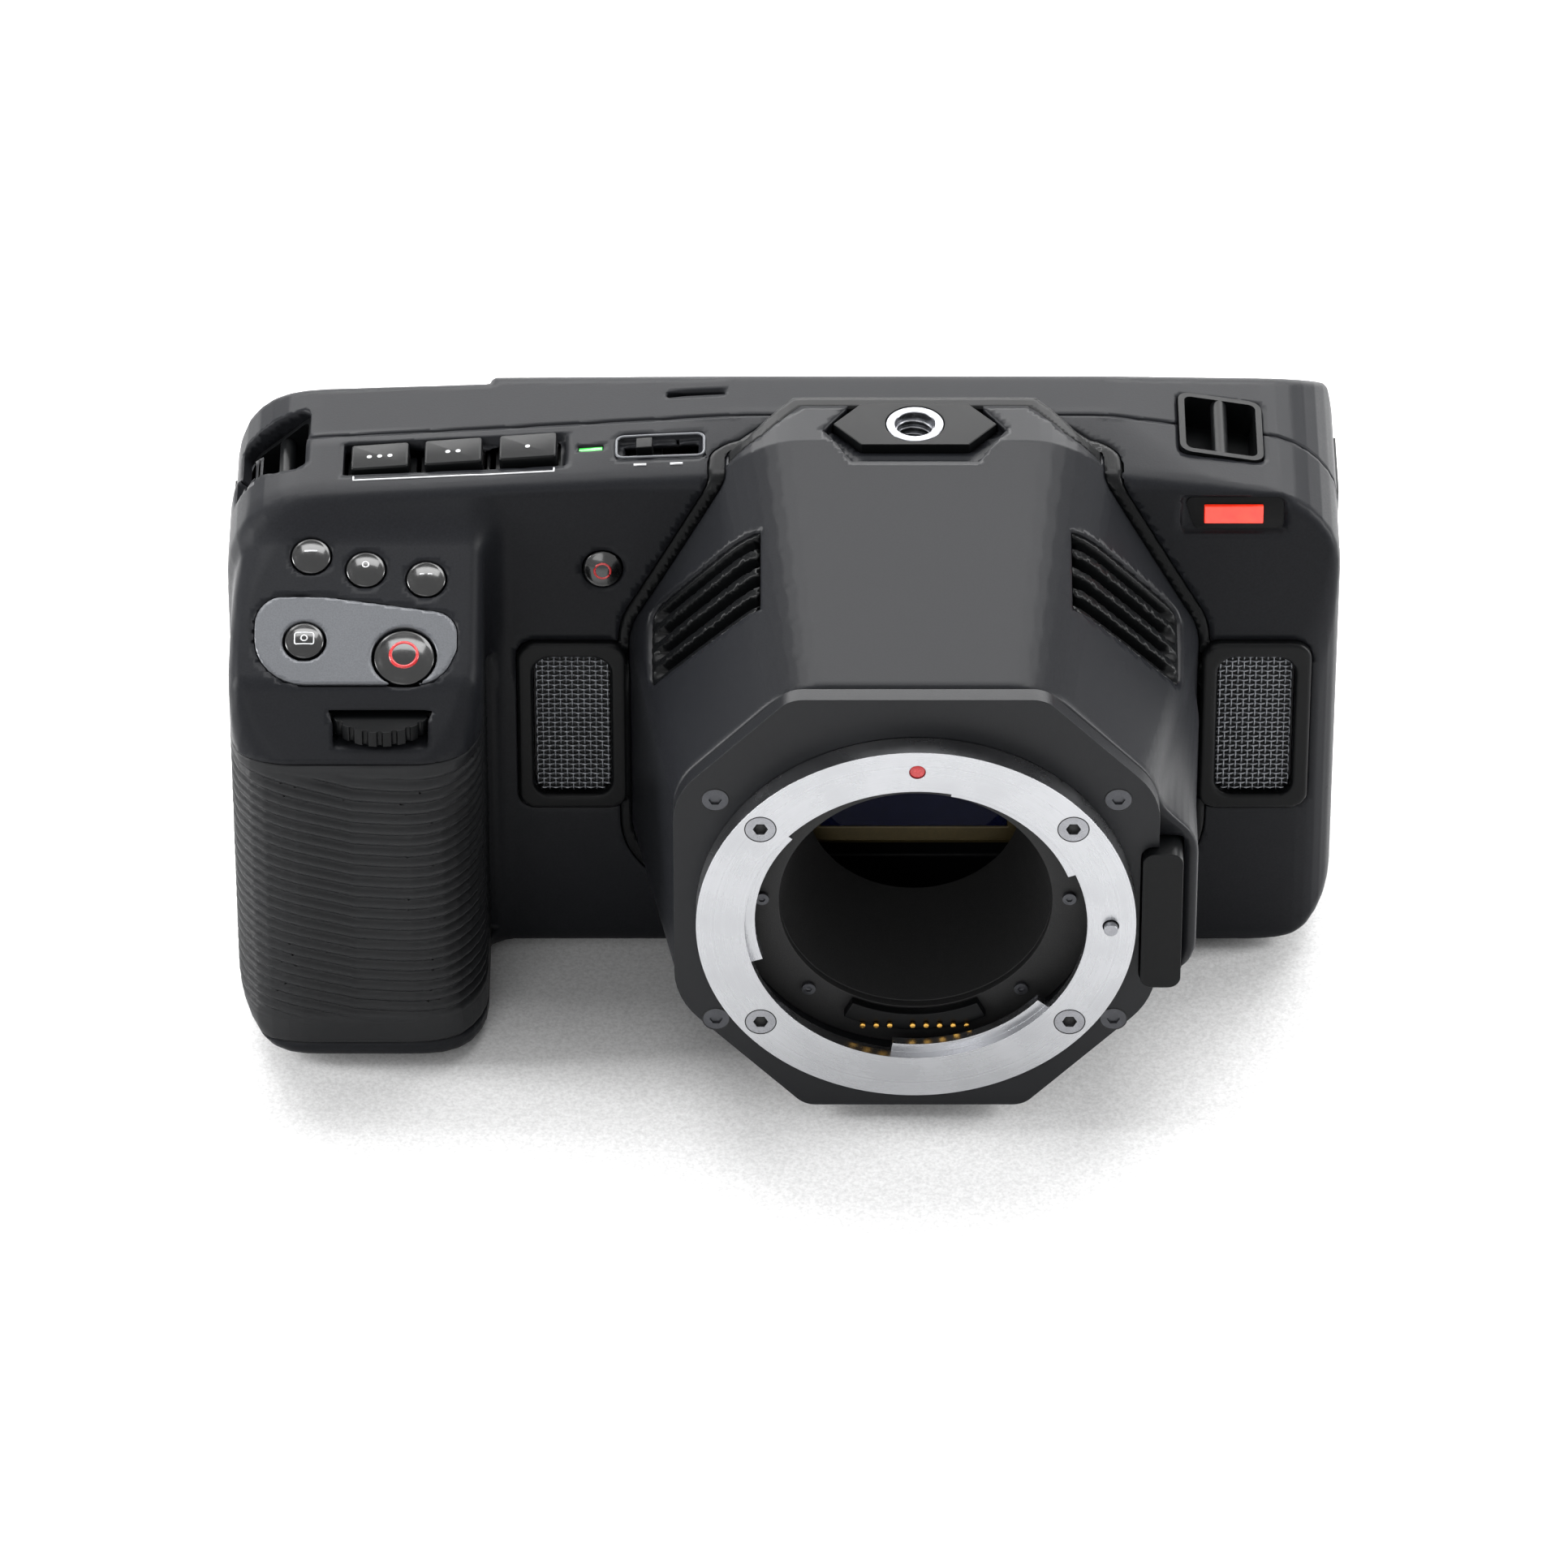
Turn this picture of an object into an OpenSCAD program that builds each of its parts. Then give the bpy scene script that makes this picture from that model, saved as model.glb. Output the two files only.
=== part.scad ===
// Digital cinema camera, front towards -Y, grip towards -X, standing on Z = 0.
// The origin is the mouth of the tripod thread. The sensor plane is Y = 0.

/* [Lens mount] */
// Radius of the lens throat
throat_r = 27; // [26.8:0.1:27.2]
// Outer radius of the bayonet ring
ring_r = 34.7; // [34.5:0.1:35]
// Distance from the mount face back to the sensor
flange_d = 44; // [44:0.5:46]
// Height of the lens axis above the base
axis_h = 42.5; // [42:0.5:43.5]

/* [Body] */
// Width from the lens axis to the outside of the grip
grip_side_w = 109.5; // [109:0.5:112]
// Width from the lens axis to the outside of the socket side
port_side_w = 68.5; // [68:0.5:72]
// Height of the top of the hump
hump_h = 96; // [96:0.5:98]
// How far the hump stands above the deck
hump_rise = 4.2; // [4:0.1:4.5]
// How far the deck falls towards the grip
deck_fall = 5.6; // [5.3:0.1:5.8]
// Distance from the sensor back to the rear face
back_y = 55.4; // [55.4:0.5:58]
// Wall thickness of the casings
wall = 2; // [1.8:0.1:2.2]

/* [Grip] */
// Width of the grip
grip_w = 41; // [41:0.5:43]
// How far the grip stands forward of the sensor
grip_reach = 29.5; // [29.5:0.5:31]
// Thickness of the grip rubber
rubber_t = 1.5; // [1.2:0.1:1.6]

/* [Controls] */
// Radius of a small round button
button_r = 3.1; // [2.8:0.1:3.3]
// Radius of the record button on the grip
record_r = 4.8; // [4.5:0.1:5]
// Travel of every button
button_travel = 0.8; // [0.5:0.1:0.9]
// Travel of the power switch
switch_travel = 5; // [4:0.5:5.5]
// Travel of the lens release button
release_travel = 2.5; // [2:0.1:2.8]

/* [Hidden] */

// One overrun for every cut, one gap between fixed pieces, one round moving ones
over = 1;
seat = 0.1;
slack = 0.2;
swing = 0.4;
corner_steps = 6;
round_fn = 48;
shell_tint = [0.16, 0.165, 0.175];
housing_tint = [0.24, 0.245, 0.255];
black_tint = [0.05, 0.05, 0.055];
steel_tint = [0.78, 0.78, 0.8];
gold_tint = [0.85, 0.65, 0.25];

// Side view of the front wall: foot, bend, and the ridge at the deck
deck_h = hump_h - hump_rise;
grip_deck_h = deck_h - deck_fall;
bend_drop = 35.8;
ridge_drop = 1.3;
wall_y = 2.3;
wall_bend_h = deck_h - bend_drop;
ridge_y = 9.5;
ridge_h = deck_h - ridge_drop;
wall_lean = atan2(ridge_y - wall_y, ridge_h - wall_bend_h);
// The seam between the casings, and the rear edge of the deck
seam_y = 25;
seam_gap = 0.3;
deck_back_y = 35.5;
grip_back_y = 41;
screen_side_x = 68;
brow_drop = 16.3;
brow_h = deck_h - brow_drop;
foot_h = 8;

// Side view of the grip: the deck falls to the finger rest, then to the front
slope_top_y = 12;
slope_foot_y = -19;
slope_drop = 14.7;
slope_foot_h = grip_deck_h - slope_drop;
chin_drop = 14.5;
grip_chin_h = slope_foot_h - chin_drop;
grip_belly_h = 30;
grip_toe_y = 2;
grip_toe_r = 5;
grip_belly_r = 40;
grip_chin_r = 12;
grip_foot_r = 6;
slope = atan2(grip_deck_h - slope_foot_h, slope_top_y - slope_foot_y);
grip_inner_x = grip_w - grip_side_w;
rubber_drop = 10.5;
rubber_top_h = slope_foot_h - rubber_drop;
rubber_foot_h = 5;
rubber_back_y = 14;
grip_wall = wall + rubber_t;

// Ends of the deck, where its outline turns down to the sides
deck_grip_x = -94;
deck_left_x = -27;
deck_right_x = 30;
port_fall = 5.8;
port_deck_h = deck_h - port_fall;
deck_tilt = atan2(deck_h - grip_deck_h, deck_left_x - deck_grip_x);

// Front view of the mount plate and of the housing where it meets the body
plate_top_half = 20;
plate_side_half = 38.2;
plate_foot_half = 17.5;
plate_top = 42;
plate_shoulder = 23;
plate_hip = -18;
plate_foot = -40;
base_top_half = 27;
base_side_half = 47;
base_foot_half = 24;
base_shoulder = 22;
base_hip = -22;
base_foot = -41;
base_y = 12;
plate_corners = [4, 4, 14, 12, 5, 5, 12, 14];
base_corners = [6, 6, 14, 10, 6, 6, 10, 14];
hump_back_y = 24.5;
hump_cut = 7.5;
ring_proud = 4;
plate_t = 3;
flange_y = -flange_d;
plate_y = flange_y + ring_proud;
housing_y = plate_y + plate_t;
housing_wall = 2.2;
band = 2;

// The bulge of the housing round the lens release button
bulge_x = 44.5;
bulge_in_x = 28;
bulge_top = 17;
bulge_foot = -17;
bulge_back_y = -2;
bulge_corner = 8;
release_in_x = 35.6;
release_out_x = 42;
release_top = 12.5;
release_foot = -14.5;
release_proud = 1.6;
release_d = 7;
release_corner = 2;
lock_x = 30.7;
lock_r = 1.1;

// Rings, screws and contacts of the mount
claw_t = 1.5;
claw_lip_t = 1.6;
claw_reach = 1.6;
claw_span = 58;
claw_start = [20, 140, 262];
groove_step = 1.2;
groove_r = throat_r + groove_step;
well_step = 2;
well_r = throat_r + well_step;
housing_step = 3;
dot_r = 1.3;
dot_t = 0.6;
dot_up = (throat_r + ring_r) / 2;
ring_screw_x = 24.5;
ring_screw_z = 19.5;
ring_head_r = 2.4;
ring_head_t = 1;
plate_screw_x = 31.6;
plate_screw_z = 22.2;
plate_head_r = 2.1;
plate_head_t = 0.8;
hex_share = 0.5;
trap_in_r = 21.6;
trap_t = 1.4;
trap_step = 6.4;
trap_y = flange_y + trap_step;
trap_screw_r = 24.3;
trap_screw_angles = [2, 178, 226, 314];
trap_head_r = 1.1;
trap_head_t = 0.7;
block_half_angle = 27;
block_t = 1.7;
block_in_r = 21.8;
block_out_r = 26.6;
pin_count = 8;
pin_pitch = 2.15;
pin_gap_after = 3;
pin_gap = 1.5;
pin_r = 0.45;
pin_h = 0.6;
pin_drop = 23.6;
throat_front_r = 25;
throat_back_r = 17;
throat_back_y = -13;
throat_wall = 1.5;

// Sensor stack from front to back
sensor_w = 30;
sensor_h = 17;
sensor_t = 2;
filter_t = 1.5;
filter_y = -8;
carrier_w = 48;
carrier_h = 40;
carrier_t = 1.5;
carrier_rim = 3;
sensor_margin = 1;
carrier_y = sensor_t + seat;
sink_y = carrier_y + carrier_t + seat;
sink_base_t = 3;
sink_d = 11;
fin_count = 9;
fin_t = 1.2;
fan_y = sink_y + sink_d + seat;
fan_d = 10;
fan_w = 40;
fan_r = 18.6;
fan_hub_r = 8;
fan_shaft_r = 1;
blade_count = 7;
blade_t = 1.2;
blade_pitch = 32;
blade_gap = 1.5;
blade_w = 7;
strut_w = 2;
chassis_y = fan_y + fan_d + seat;
chassis_t = 2;
chassis_margin = 10;
chassis_foot_h = 10;
chassis_drop = 13.8;
chassis_top_h = deck_h - chassis_drop;
standoff = 3;
standoff_r = 2.5;
board_t = 1.6;
board_inset = 2;
foot_xs = [-45, 30];
foot_w = 8;
tongue_x = -50;
tab_x = -72;
arm_w = 3.2;
arm_h = 24;
standoff_xs = [-53, 50];
standoff_inset = 8;
standoff_hs = [chassis_foot_h + standoff_inset, chassis_top_h - standoff_inset];
post_xs = [-40, 48];
post_inset = 11;
board_y = chassis_y + chassis_t + standoff + seat;
screen_w = 117;
screen_left_x = -53;
screen_foot_h = 9;
screen_margin = 2;
screen_h = brow_h - screen_margin - screen_foot_h;
post_hs = [screen_foot_h + post_inset, screen_foot_h + screen_h - post_inset];
glass_t = 1.2;
glass_sink = 2.9;
panel_t = 4;
panel_inset = 2;
glass_y = back_y - glass_sink - glass_t;
panel_y = glass_y - panel_t - seat;

// Battery, its bay and its door in the foot of the grip
battery_drop = 14.7;
battery_size = [20.8, 38.4, slope_foot_h - battery_drop];
battery_x = -89.5;
battery_y = -2;
battery_foot_h = 2.4;
bay_wall = 1.2;
bay_fit = 0.3;
door_t = 1.8;
door_hinge_r = 1.4;
door_pin_r = 0.7;
door_pin_fit = 0.05;
door_lug_t = 2;
door_corner = 2;
battery_corner = 2;
// Control dial on a stud above the battery bay
dial_x = -84.5;
dial_drop = 6;
dial_h = slope_foot_h - dial_drop;
dial_r = 9;
dial_t = 2.8;
dial_y = -16.8;
dial_slot_w = 15;
dial_slot_h = 4.8;
stud_r = 1.5;
running = 0.06;
notch_count = 24;
notch_r = 0.5;

// Card door on the grip side, card and holder behind it
card_door_foot_h = 22;
card_door_drop = 16.2;
card_door_top_h = grip_deck_h - card_door_drop;
card_door_front_y = 27.5;
card_door_back_y = 36.8;
card_size = [32, 2.1, 24];
card_inset = 8;
card_foot_h = (card_door_foot_h + card_door_top_h - card_size.z) / 2;
hinge_r = 1.1;

// Sockets and their flap on the other side
port_front_y = 27.5;
port_back_y = 43;
port_foot_h = 14;
port_drop = 12;
port_top_h = port_deck_h - port_drop;
port_block_t = 4;
port_sink = wall + seat + swing;
port_rim = 1.5;
socket_wall = 0.6;
socket_d = 8;
power_drop = 5.5;
upper_sound_drop = 16;
lower_sound_drop = 26;
video_rise = 21;
data_rise = 6.5;
power_w = 9;
sound_w = 8;
video_w = 6;
video_h = 15;
data_w = 3.6;
data_h = 9.4;
jack_r = 1.8;
plug_r = 3.4;
chassis_left_x = screen_left_x - chassis_margin;
chassis_right_x = port_side_w - port_sink - socket_d - over;
flap_t = 1.4;

// Microphone grilles beside the housing
mic_step = 1.6;
mic_w = 12.4;
mic_h = 28;
mic_over_bend = 4;
mic_in_x = base_side_half + mic_step;
mic_out_x = mic_in_x + mic_w;
mic_top_h = wall_bend_h + mic_over_bend;
mic_foot_h = mic_top_h - mic_h;
mic_frame_t = 2.6;
mic_corner = 3;
mic_depth = 3;
mic_mesh_t = 0.8;
mic_sink = 1.4;

// Controls on the deck, the slope and the walls
function_xs = [-61.5, -73.4, -85.1];
function_w = 9.2;
function_d = 6.4;
function_y = 18.3;
tray_in_x = -55.5;
tray_out_x = -91;
tray_d = 8.6;
tray_depth = 0.9;
tray_corner = 1.5;
key_corner = 0.8;
key_h = 2.6;
light_x = -51.6;
light_w = 3.8;
light_d = 1.2;
switch_x = -40.5;
switch_w = 14;
switch_d = 6.4;
switch_depth = 2.4;
knob_w = 2.6;
knob_y = 18;
small_buttons = [["iso", -95.8, 0.34], ["shutter", -87.1, 0.41], ["balance", -77.5, 0.46]];
still_at = [-96.6, 0.78];
record_at = [-80.8, 0.86];
front_record_x = -49.7;
front_record_drop = 16.8;
front_record_h = deck_h - front_record_drop;
pad_outer_x = -104.5;
pad_inner_x = -72.5;
pad_top_share = 0.56;
pad_foot_share = 1.0;
pad_t = 0.8;
pad_corner = 6;
dome_h = button_travel + seat;
stem_h = wall + slack;
rim_w = 0.9;
rim_t = 0.8;
rear_x = -60.5;
rear_button_drop = 9.5;
rear_button_pitch = 14;
rear_heights = [for (i = [0:2]) brow_h - rear_button_drop - i * rear_button_pitch];
vent_x = 20;
vent_y = 29;
vent_count = 5;
vent_pitch = 3;
vent_w = 16;
vent_d = 1.4;
tally_x = 50.7;
tally_drop = 7.5;
tally_h = deck_h - tally_drop;
tally_w = 9.4;
tally_t = 3;
tally_depth = 2;
tally_frame_w = 17;
tally_frame_h = 6.6;
tally_corner = 1.2;

// Strap lugs, thread pad and base
lug_w = 13.6;
lug_d = 15.8;
lug_depth = 7;
lug_wall = 1;
lug_bar_w = 2.6;
lug_corner = 2;
lug_in_corner = 1.2;
lug_right = [49, 25];
lug_left = [-101.3, 25];
lug_drop = 4.7;
lug_left_h = grip_deck_h - lug_drop;
lug_left_turn = -42;
lug_right_turn = 10;
pad_w = 26;
pad_d = 11;
pad_y = 16.8;
pad_h = 3.2;
pad_recess = 1.6;
pad_chamfer = 4.5;
insert_r = 4.6;
thread_r = 3.175;
thread_d = 6;
plate_w = 34;
plate_front_y = -14;
plate_back_y = 20;
plate_corner = 3;
base_plate_t = 1.3;
boss_r = 7;
tripod_t = 6.5;
base_screw_x = 12.5;
base_screw_ys = [-9.5, 16];
base_head_r = 2;
base_shank = 3.4;
speaker_x = -34.9;
speaker_w = 9.4;
speaker_d = 1.4;
speaker_y = 31.5;

function unit(v) = v / norm(v);
// Points of the arc that rounds corner p, between neighbours a and b
function arc_at(a, p, b, r) =
    let (u = unit(a - p), v = unit(b - p), half = acos(u * v) / 2)
    let (c = p + unit(u + v) * r / sin(half), s = p + u * r / tan(half) - c)
    let (e = p + v * r / tan(half) - c, from = atan2(s.y, s.x))
    let (turn = (atan2(e.y, e.x) - from + 540) % 360 - 180)
    [for (i = [0:corner_steps])
        c + r * [cos(from + turn * i / corner_steps), sin(from + turn * i / corner_steps)]];
// An outline with each corner rounded by its own radius
function rounded(pts, radii) =
    let (n = len(pts))
    [for (i = [0:n - 1]) each radii[i] > 0
        ? arc_at(pts[(i + n - 1) % n], pts[i], pts[(i + 1) % n], radii[i])
        : [pts[i]]];
function box_points(x0, x1, y0, y1) = [[x0, y0], [x1, y0], [x1, y1], [x0, y1]];

// Outlines drawn in X and Z pushed along Y, and in Y and Z pushed along X
module along_y(y0, y1) {
    translate([0, y1, 0]) rotate([90, 0, 0]) linear_extrude(y1 - y0) children();
}
module along_x(x0, x1) {
    translate([x0, 0, 0]) rotate([90, 0, 90]) linear_extrude(x1 - x0) children();
}
module slab(x0, x1, y0, y1, z0, z1) {
    translate([x0, y0, z0]) cube([x1 - x0, y1 - y0, z1 - z0]);
}
module soft_slab(x0, x1, y0, y1, z0, z1, r) {
    translate([0, 0, z0])
        linear_extrude(z1 - z0) polygon(rounded(box_points(x0, x1, y0, y1), [r, r, r, r]));
}
module mirrored_x() {
    children();
    mirror([1, 0, 0]) children();
}
// Moves a piece drawn upwards from Z = 0 so that it points forwards from Y = y
module facing_front(x, y, z) {
    translate([x, y, z]) rotate([90, 0, 0]) children();
}

// Front view of the whole body, drawn in by t
body_corners = [14, 14, 15, 30, 30, 16];
module front_view(t) {
    polygon(rounded([
        [t - grip_side_w, t], [port_side_w - t, t], [port_side_w - t, port_deck_h - t],
        [deck_right_x, deck_h - t], [deck_left_x, deck_h - t], [t - grip_side_w, grip_deck_h - t]
    ], [for (r = body_corners) r - t]));
}
// Everything behind the front wall and ahead of the rear of the grip
core_corner = 8;
back_corner = 4;
core_corners = [core_corner, core_corner, back_corner, back_corner];
ridge_corner = 3;
module core_form(t) {
    intersection() {
        along_y(wall_y - over, grip_back_y + over) front_view(t);
        along_x(-grip_side_w, port_side_w) polygon(rounded([
            [wall_y + t, t], [wall_y + t, wall_bend_h], [ridge_y + t, ridge_h - t],
            [seam_y, deck_h + over], [deck_back_y, deck_h + over],
            [grip_back_y - t, deck_h - core_corner], [grip_back_y - t, t]
        ], [ridge_corner - t + wall, 0, ridge_corner, 0, 0, core_corner, ridge_corner]));
        linear_extrude(hump_h) polygon(rounded(
            box_points(t - grip_side_w, port_side_w - t, wall_y + t, grip_back_y - t),
            [for (r = core_corners) r - t]));
    }
}
// The screen housing that stands out at the back
module screen_form(t) {
    intersection() {
        along_y(seam_y - over, back_y + over) front_view(t);
        along_x(t - screen_side_x, port_side_w - t) polygon(rounded([
            [seam_y - over, t], [back_y - 2 * foot_h, t], [back_y - t, foot_h],
            [back_y - t, brow_h - t], [deck_back_y - t, deck_h - t], [seam_y - over, deck_h + over]
        ], [0, foot_h, ridge_corner, ridge_corner, ridge_corner, 0]));
        linear_extrude(hump_h) polygon(rounded(
            box_points(t - screen_side_x, port_side_w - t, seam_y - over, back_y - t),
            [0, 0, core_corner - t, core_corner - t]));
    }
}
grip_corner = 14;
module grip_form(t) {
    intersection() {
        along_y(-grip_reach, seam_y) front_view(t);
        along_x(-grip_side_w, grip_inner_x) polygon(rounded([
            [t - grip_reach + grip_toe_y, t], [t - grip_reach, grip_belly_h],
            [t - grip_reach, grip_chin_h], [slope_foot_y + t / 2, slope_foot_h - t],
            [slope_top_y, grip_deck_h - t + seat], [seam_y, grip_deck_h - t + seat], [seam_y, t]
        ], [grip_toe_r - t, grip_belly_r, grip_chin_r, grip_foot_r, 0, 0, 0]));
        linear_extrude(hump_h) polygon(rounded(
            box_points(t - grip_side_w, grip_inner_x - t, t - grip_reach, seam_y),
            [grip_corner - t, grip_corner - t, 0, 0]));
    }
}
module casing_form(t, grip_t) {
    core_form(t);
    screen_form(t);
    grip_form(grip_t);
}

// The mount housing, grown by g: a cone from the plate to the body, and the hump
module plate_view(g) {
    translate([0, axis_h]) offset(r = g) polygon(rounded([
        [-plate_foot_half, plate_foot], [plate_foot_half, plate_foot],
        [plate_side_half, plate_hip], [plate_side_half, plate_shoulder],
        [plate_top_half, plate_top], [-plate_top_half, plate_top],
        [-plate_side_half, plate_shoulder], [-plate_side_half, plate_hip]
    ], plate_corners));
}
module base_view(g) {
    offset(r = g) polygon(rounded([
        [-base_foot_half, axis_h + base_foot], [base_foot_half, axis_h + base_foot],
        [base_side_half, axis_h + base_hip], [base_side_half, axis_h + base_shoulder],
        [base_top_half, hump_h], [-base_top_half, hump_h],
        [-base_side_half, axis_h + base_shoulder], [-base_side_half, axis_h + base_hip]
    ], base_corners));
}
module bulge_view(reach, g) {
    translate([0, axis_h]) offset(r = g) polygon(rounded(
        box_points(bulge_in_x, reach, bulge_foot, bulge_top), [0, bulge_corner, bulge_corner, 0]));
}
skin = 0.2;
step = 0.05;
module cone_form(g) {
    front_y = housing_y + max(0, -g);
    hull() {
        along_y(front_y, front_y + skin) plate_view(g);
        along_y(base_y, base_y + skin) base_view(g);
    }
}
module housing_form(g) {
    cone_form(g);
    front_y = housing_y + max(0, -g);
    hull() {
        along_y(front_y, front_y + skin) bulge_view(bulge_x, g);
        along_y(bulge_back_y, bulge_back_y + skin) bulge_view(bulge_x + skin, g);
    }
    intersection() {
        along_y(base_y + step, hump_back_y + g + over) base_view(g - step);
        translate([0, 0, axis_h + base_shoulder]) linear_extrude(hump_h) polygon([
            [-base_side_half, base_y], [base_side_half, base_y],
            [base_top_half + g, hump_back_y - hump_cut], [base_top_half - hump_cut, hump_back_y + g],
            [hump_cut - base_top_half, hump_back_y + g], [-base_top_half - g, hump_back_y - hump_cut]
        ]);
    }
}

// Places on the outside: on the left deck, on the grip slope, on the leaning wall
module on_deck(x, y) {
    translate([x, y, grip_deck_h + (x - deck_grip_x) * tan(deck_tilt)])
        rotate([0, -deck_tilt, 0]) children();
}
function slope_y(share) = slope_top_y + (slope_foot_y - slope_top_y) * share;
function slope_h(share) = grip_deck_h + (slope_foot_h - grip_deck_h) * share;
module on_slope(x, share) {
    translate([x, slope_y(share), slope_h(share)]) rotate([slope, 0, 0]) children();
}
module on_wall(x, h) {
    translate([x, wall_y + (h - wall_bend_h) * tan(wall_lean), h])
        rotate([90 - wall_lean, 0, 0]) children();
}

module on_back(x, h) {
    translate([x, back_y - dome_h, h]) rotate([-90, 0, 0]) children();
}

// A round button: cap with a low dome above the surface, stem and flange below it
module round_button(r) {
    intersection() {
        translate([0, 0, -stem_h]) cylinder(r = r, h = stem_h + dome_h, $fn = round_fn);
        translate([0, 0, dome_h - 2 * r]) sphere(r = 2 * r, $fn = round_fn);
    }
    translate([0, 0, -stem_h - rim_t]) cylinder(r = r + rim_w, h = rim_t + seat, $fn = round_fn);
}
module button_hole(r) {
    translate([0, 0, -stem_h - over]) cylinder(r = r + slack, h = stem_h + 2 * over, $fn = round_fn);
    // Behind a thick wall the button's flange has a pocket of its own
    translate([0, 0, -wall - 2 * grip_wall])
        cylinder(r = r + rim_w + 2 * slack, h = 2 * grip_wall, $fn = round_fn);
}
module key(w, d, h) {
    soft_slab(-w / 2, w / 2, -d / 2, d / 2, -wall - slack - seat, h - tray_depth, key_corner);
    slab(-w / 2 - rim_w, w / 2 + rim_w, -d / 2 - rim_w, d / 2 + rim_w,
        -wall - slack - rim_t, -wall - slack);
}
module tray_cut() {
    mid = (tray_in_x + tray_out_x) / 2;
    half = (tray_in_x - tray_out_x) / 2;
    on_deck(mid, function_y)
        soft_slab(-half, half, -tray_d / 2, tray_d / 2, -tray_depth, 2 * over, tray_corner);
    for (x = function_xs) on_deck(x, function_y)
        soft_slab(-function_w / 2 - slack, function_w / 2 + slack, -function_d / 2 - slack,
            function_d / 2 + slack, -2 * wall - tray_depth, 0, key_corner);
}
module light_cut() {
    on_deck(light_x, function_y)
        slab(-light_w / 2 - seat, light_w / 2 + seat, -light_d / 2 - seat, light_d / 2 + seat,
            -2 * wall, over);
}
module switch_cut() {
    on_deck(switch_x, knob_y) {
        soft_slab(-switch_w / 2, switch_w / 2, -switch_d / 2, switch_d / 2,
            -tray_depth, 2 * over, tray_corner);
        slab(-switch_w / 2 + over, switch_w / 2 - over, -knob_w / 2 - slack, knob_w / 2 + slack,
            -2 * wall - tray_depth, 0);
    }
}
module dial_cut() {
    slab(dial_x - dial_slot_w / 2, dial_x + dial_slot_w / 2, -grip_reach, dial_y,
        dial_h - dial_slot_h / 2, dial_h + dial_slot_h / 2);
    translate([dial_x, dial_y, dial_h - dial_slot_h / 2])
        cylinder(r = dial_r + swing, h = dial_slot_h, $fn = 2 * round_fn);
}
module pad_outline(grow) {
    run = norm([slope_top_y - slope_foot_y, grip_deck_h - slope_foot_h]);
    foot = -(pad_foot_share - pad_top_share) * run;
    polygon(rounded(
        box_points(pad_outer_x - grow, pad_inner_x + grow, foot - grow, grow),
        [pad_corner, pad_corner, pad_corner, pad_corner]));
}
module pad_slab(grow, low, high) {
    translate([0, slope_y(pad_top_share), slope_h(pad_top_share)]) rotate([slope, 0, 0])
        translate([0, 0, low]) linear_extrude(high - low) pad_outline(grow);
}
module rubber_zone(grow) {
    slab(-grip_side_w - over, grip_inner_x + over, -grip_reach - over, rubber_back_y + grow,
        rubber_foot_h - grow, rubber_top_h + grow);
}
module mic_cut(grow, front_y, rear_y) {
    mirrored_x() along_y(front_y, rear_y) polygon(rounded(
        box_points(mic_in_x - grow, mic_out_x + grow, mic_foot_h - grow, mic_top_h + grow),
        [mic_corner, mic_corner, mic_corner, mic_corner]));
}
module lug_places() {
    translate([lug_right.x, lug_right.y, port_deck_h + (port_side_w - lug_right.x) * tan(lug_right_turn)])
        rotate([0, lug_right_turn, 0]) children();
    translate([lug_left.x, lug_left.y, lug_left_h]) rotate([0, lug_left_turn, 0]) children();
}
module door_outline(grow) {
    half = battery_size / 2;
    soft_slab(battery_x - half.x - grow, battery_x + half.x + grow,
        battery_y - half.y - grow, battery_y + half.y + grow, -over, door_t + grow, door_corner);
}
door_hinge_y = battery_y + battery_size.y / 2 + bay_fit + bay_wall + door_hinge_r + slack;
door_barrel = battery_size.x - 2 * door_lug_t - 2 * swing;
bay_foot_h = door_t + swing + seat;
module bay_slab(grow, low, high) {
    half = battery_size / 2;
    slab(battery_x - half.x - grow, battery_x + half.x + grow, battery_y - half.y - grow,
        battery_y + half.y + grow, low, high);
}
module card_door_cut(grow) {
    slab(-grip_side_w - over, wall - grip_side_w + seat, card_door_front_y - grow,
        card_door_back_y + grow, card_door_foot_h - grow, card_door_top_h + grow);
}
module port_cut(grow, deep) {
    slab(port_side_w - deep, port_side_w + over, port_front_y - grow, port_back_y + grow,
        port_foot_h - grow, port_top_h + grow);
}

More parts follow.
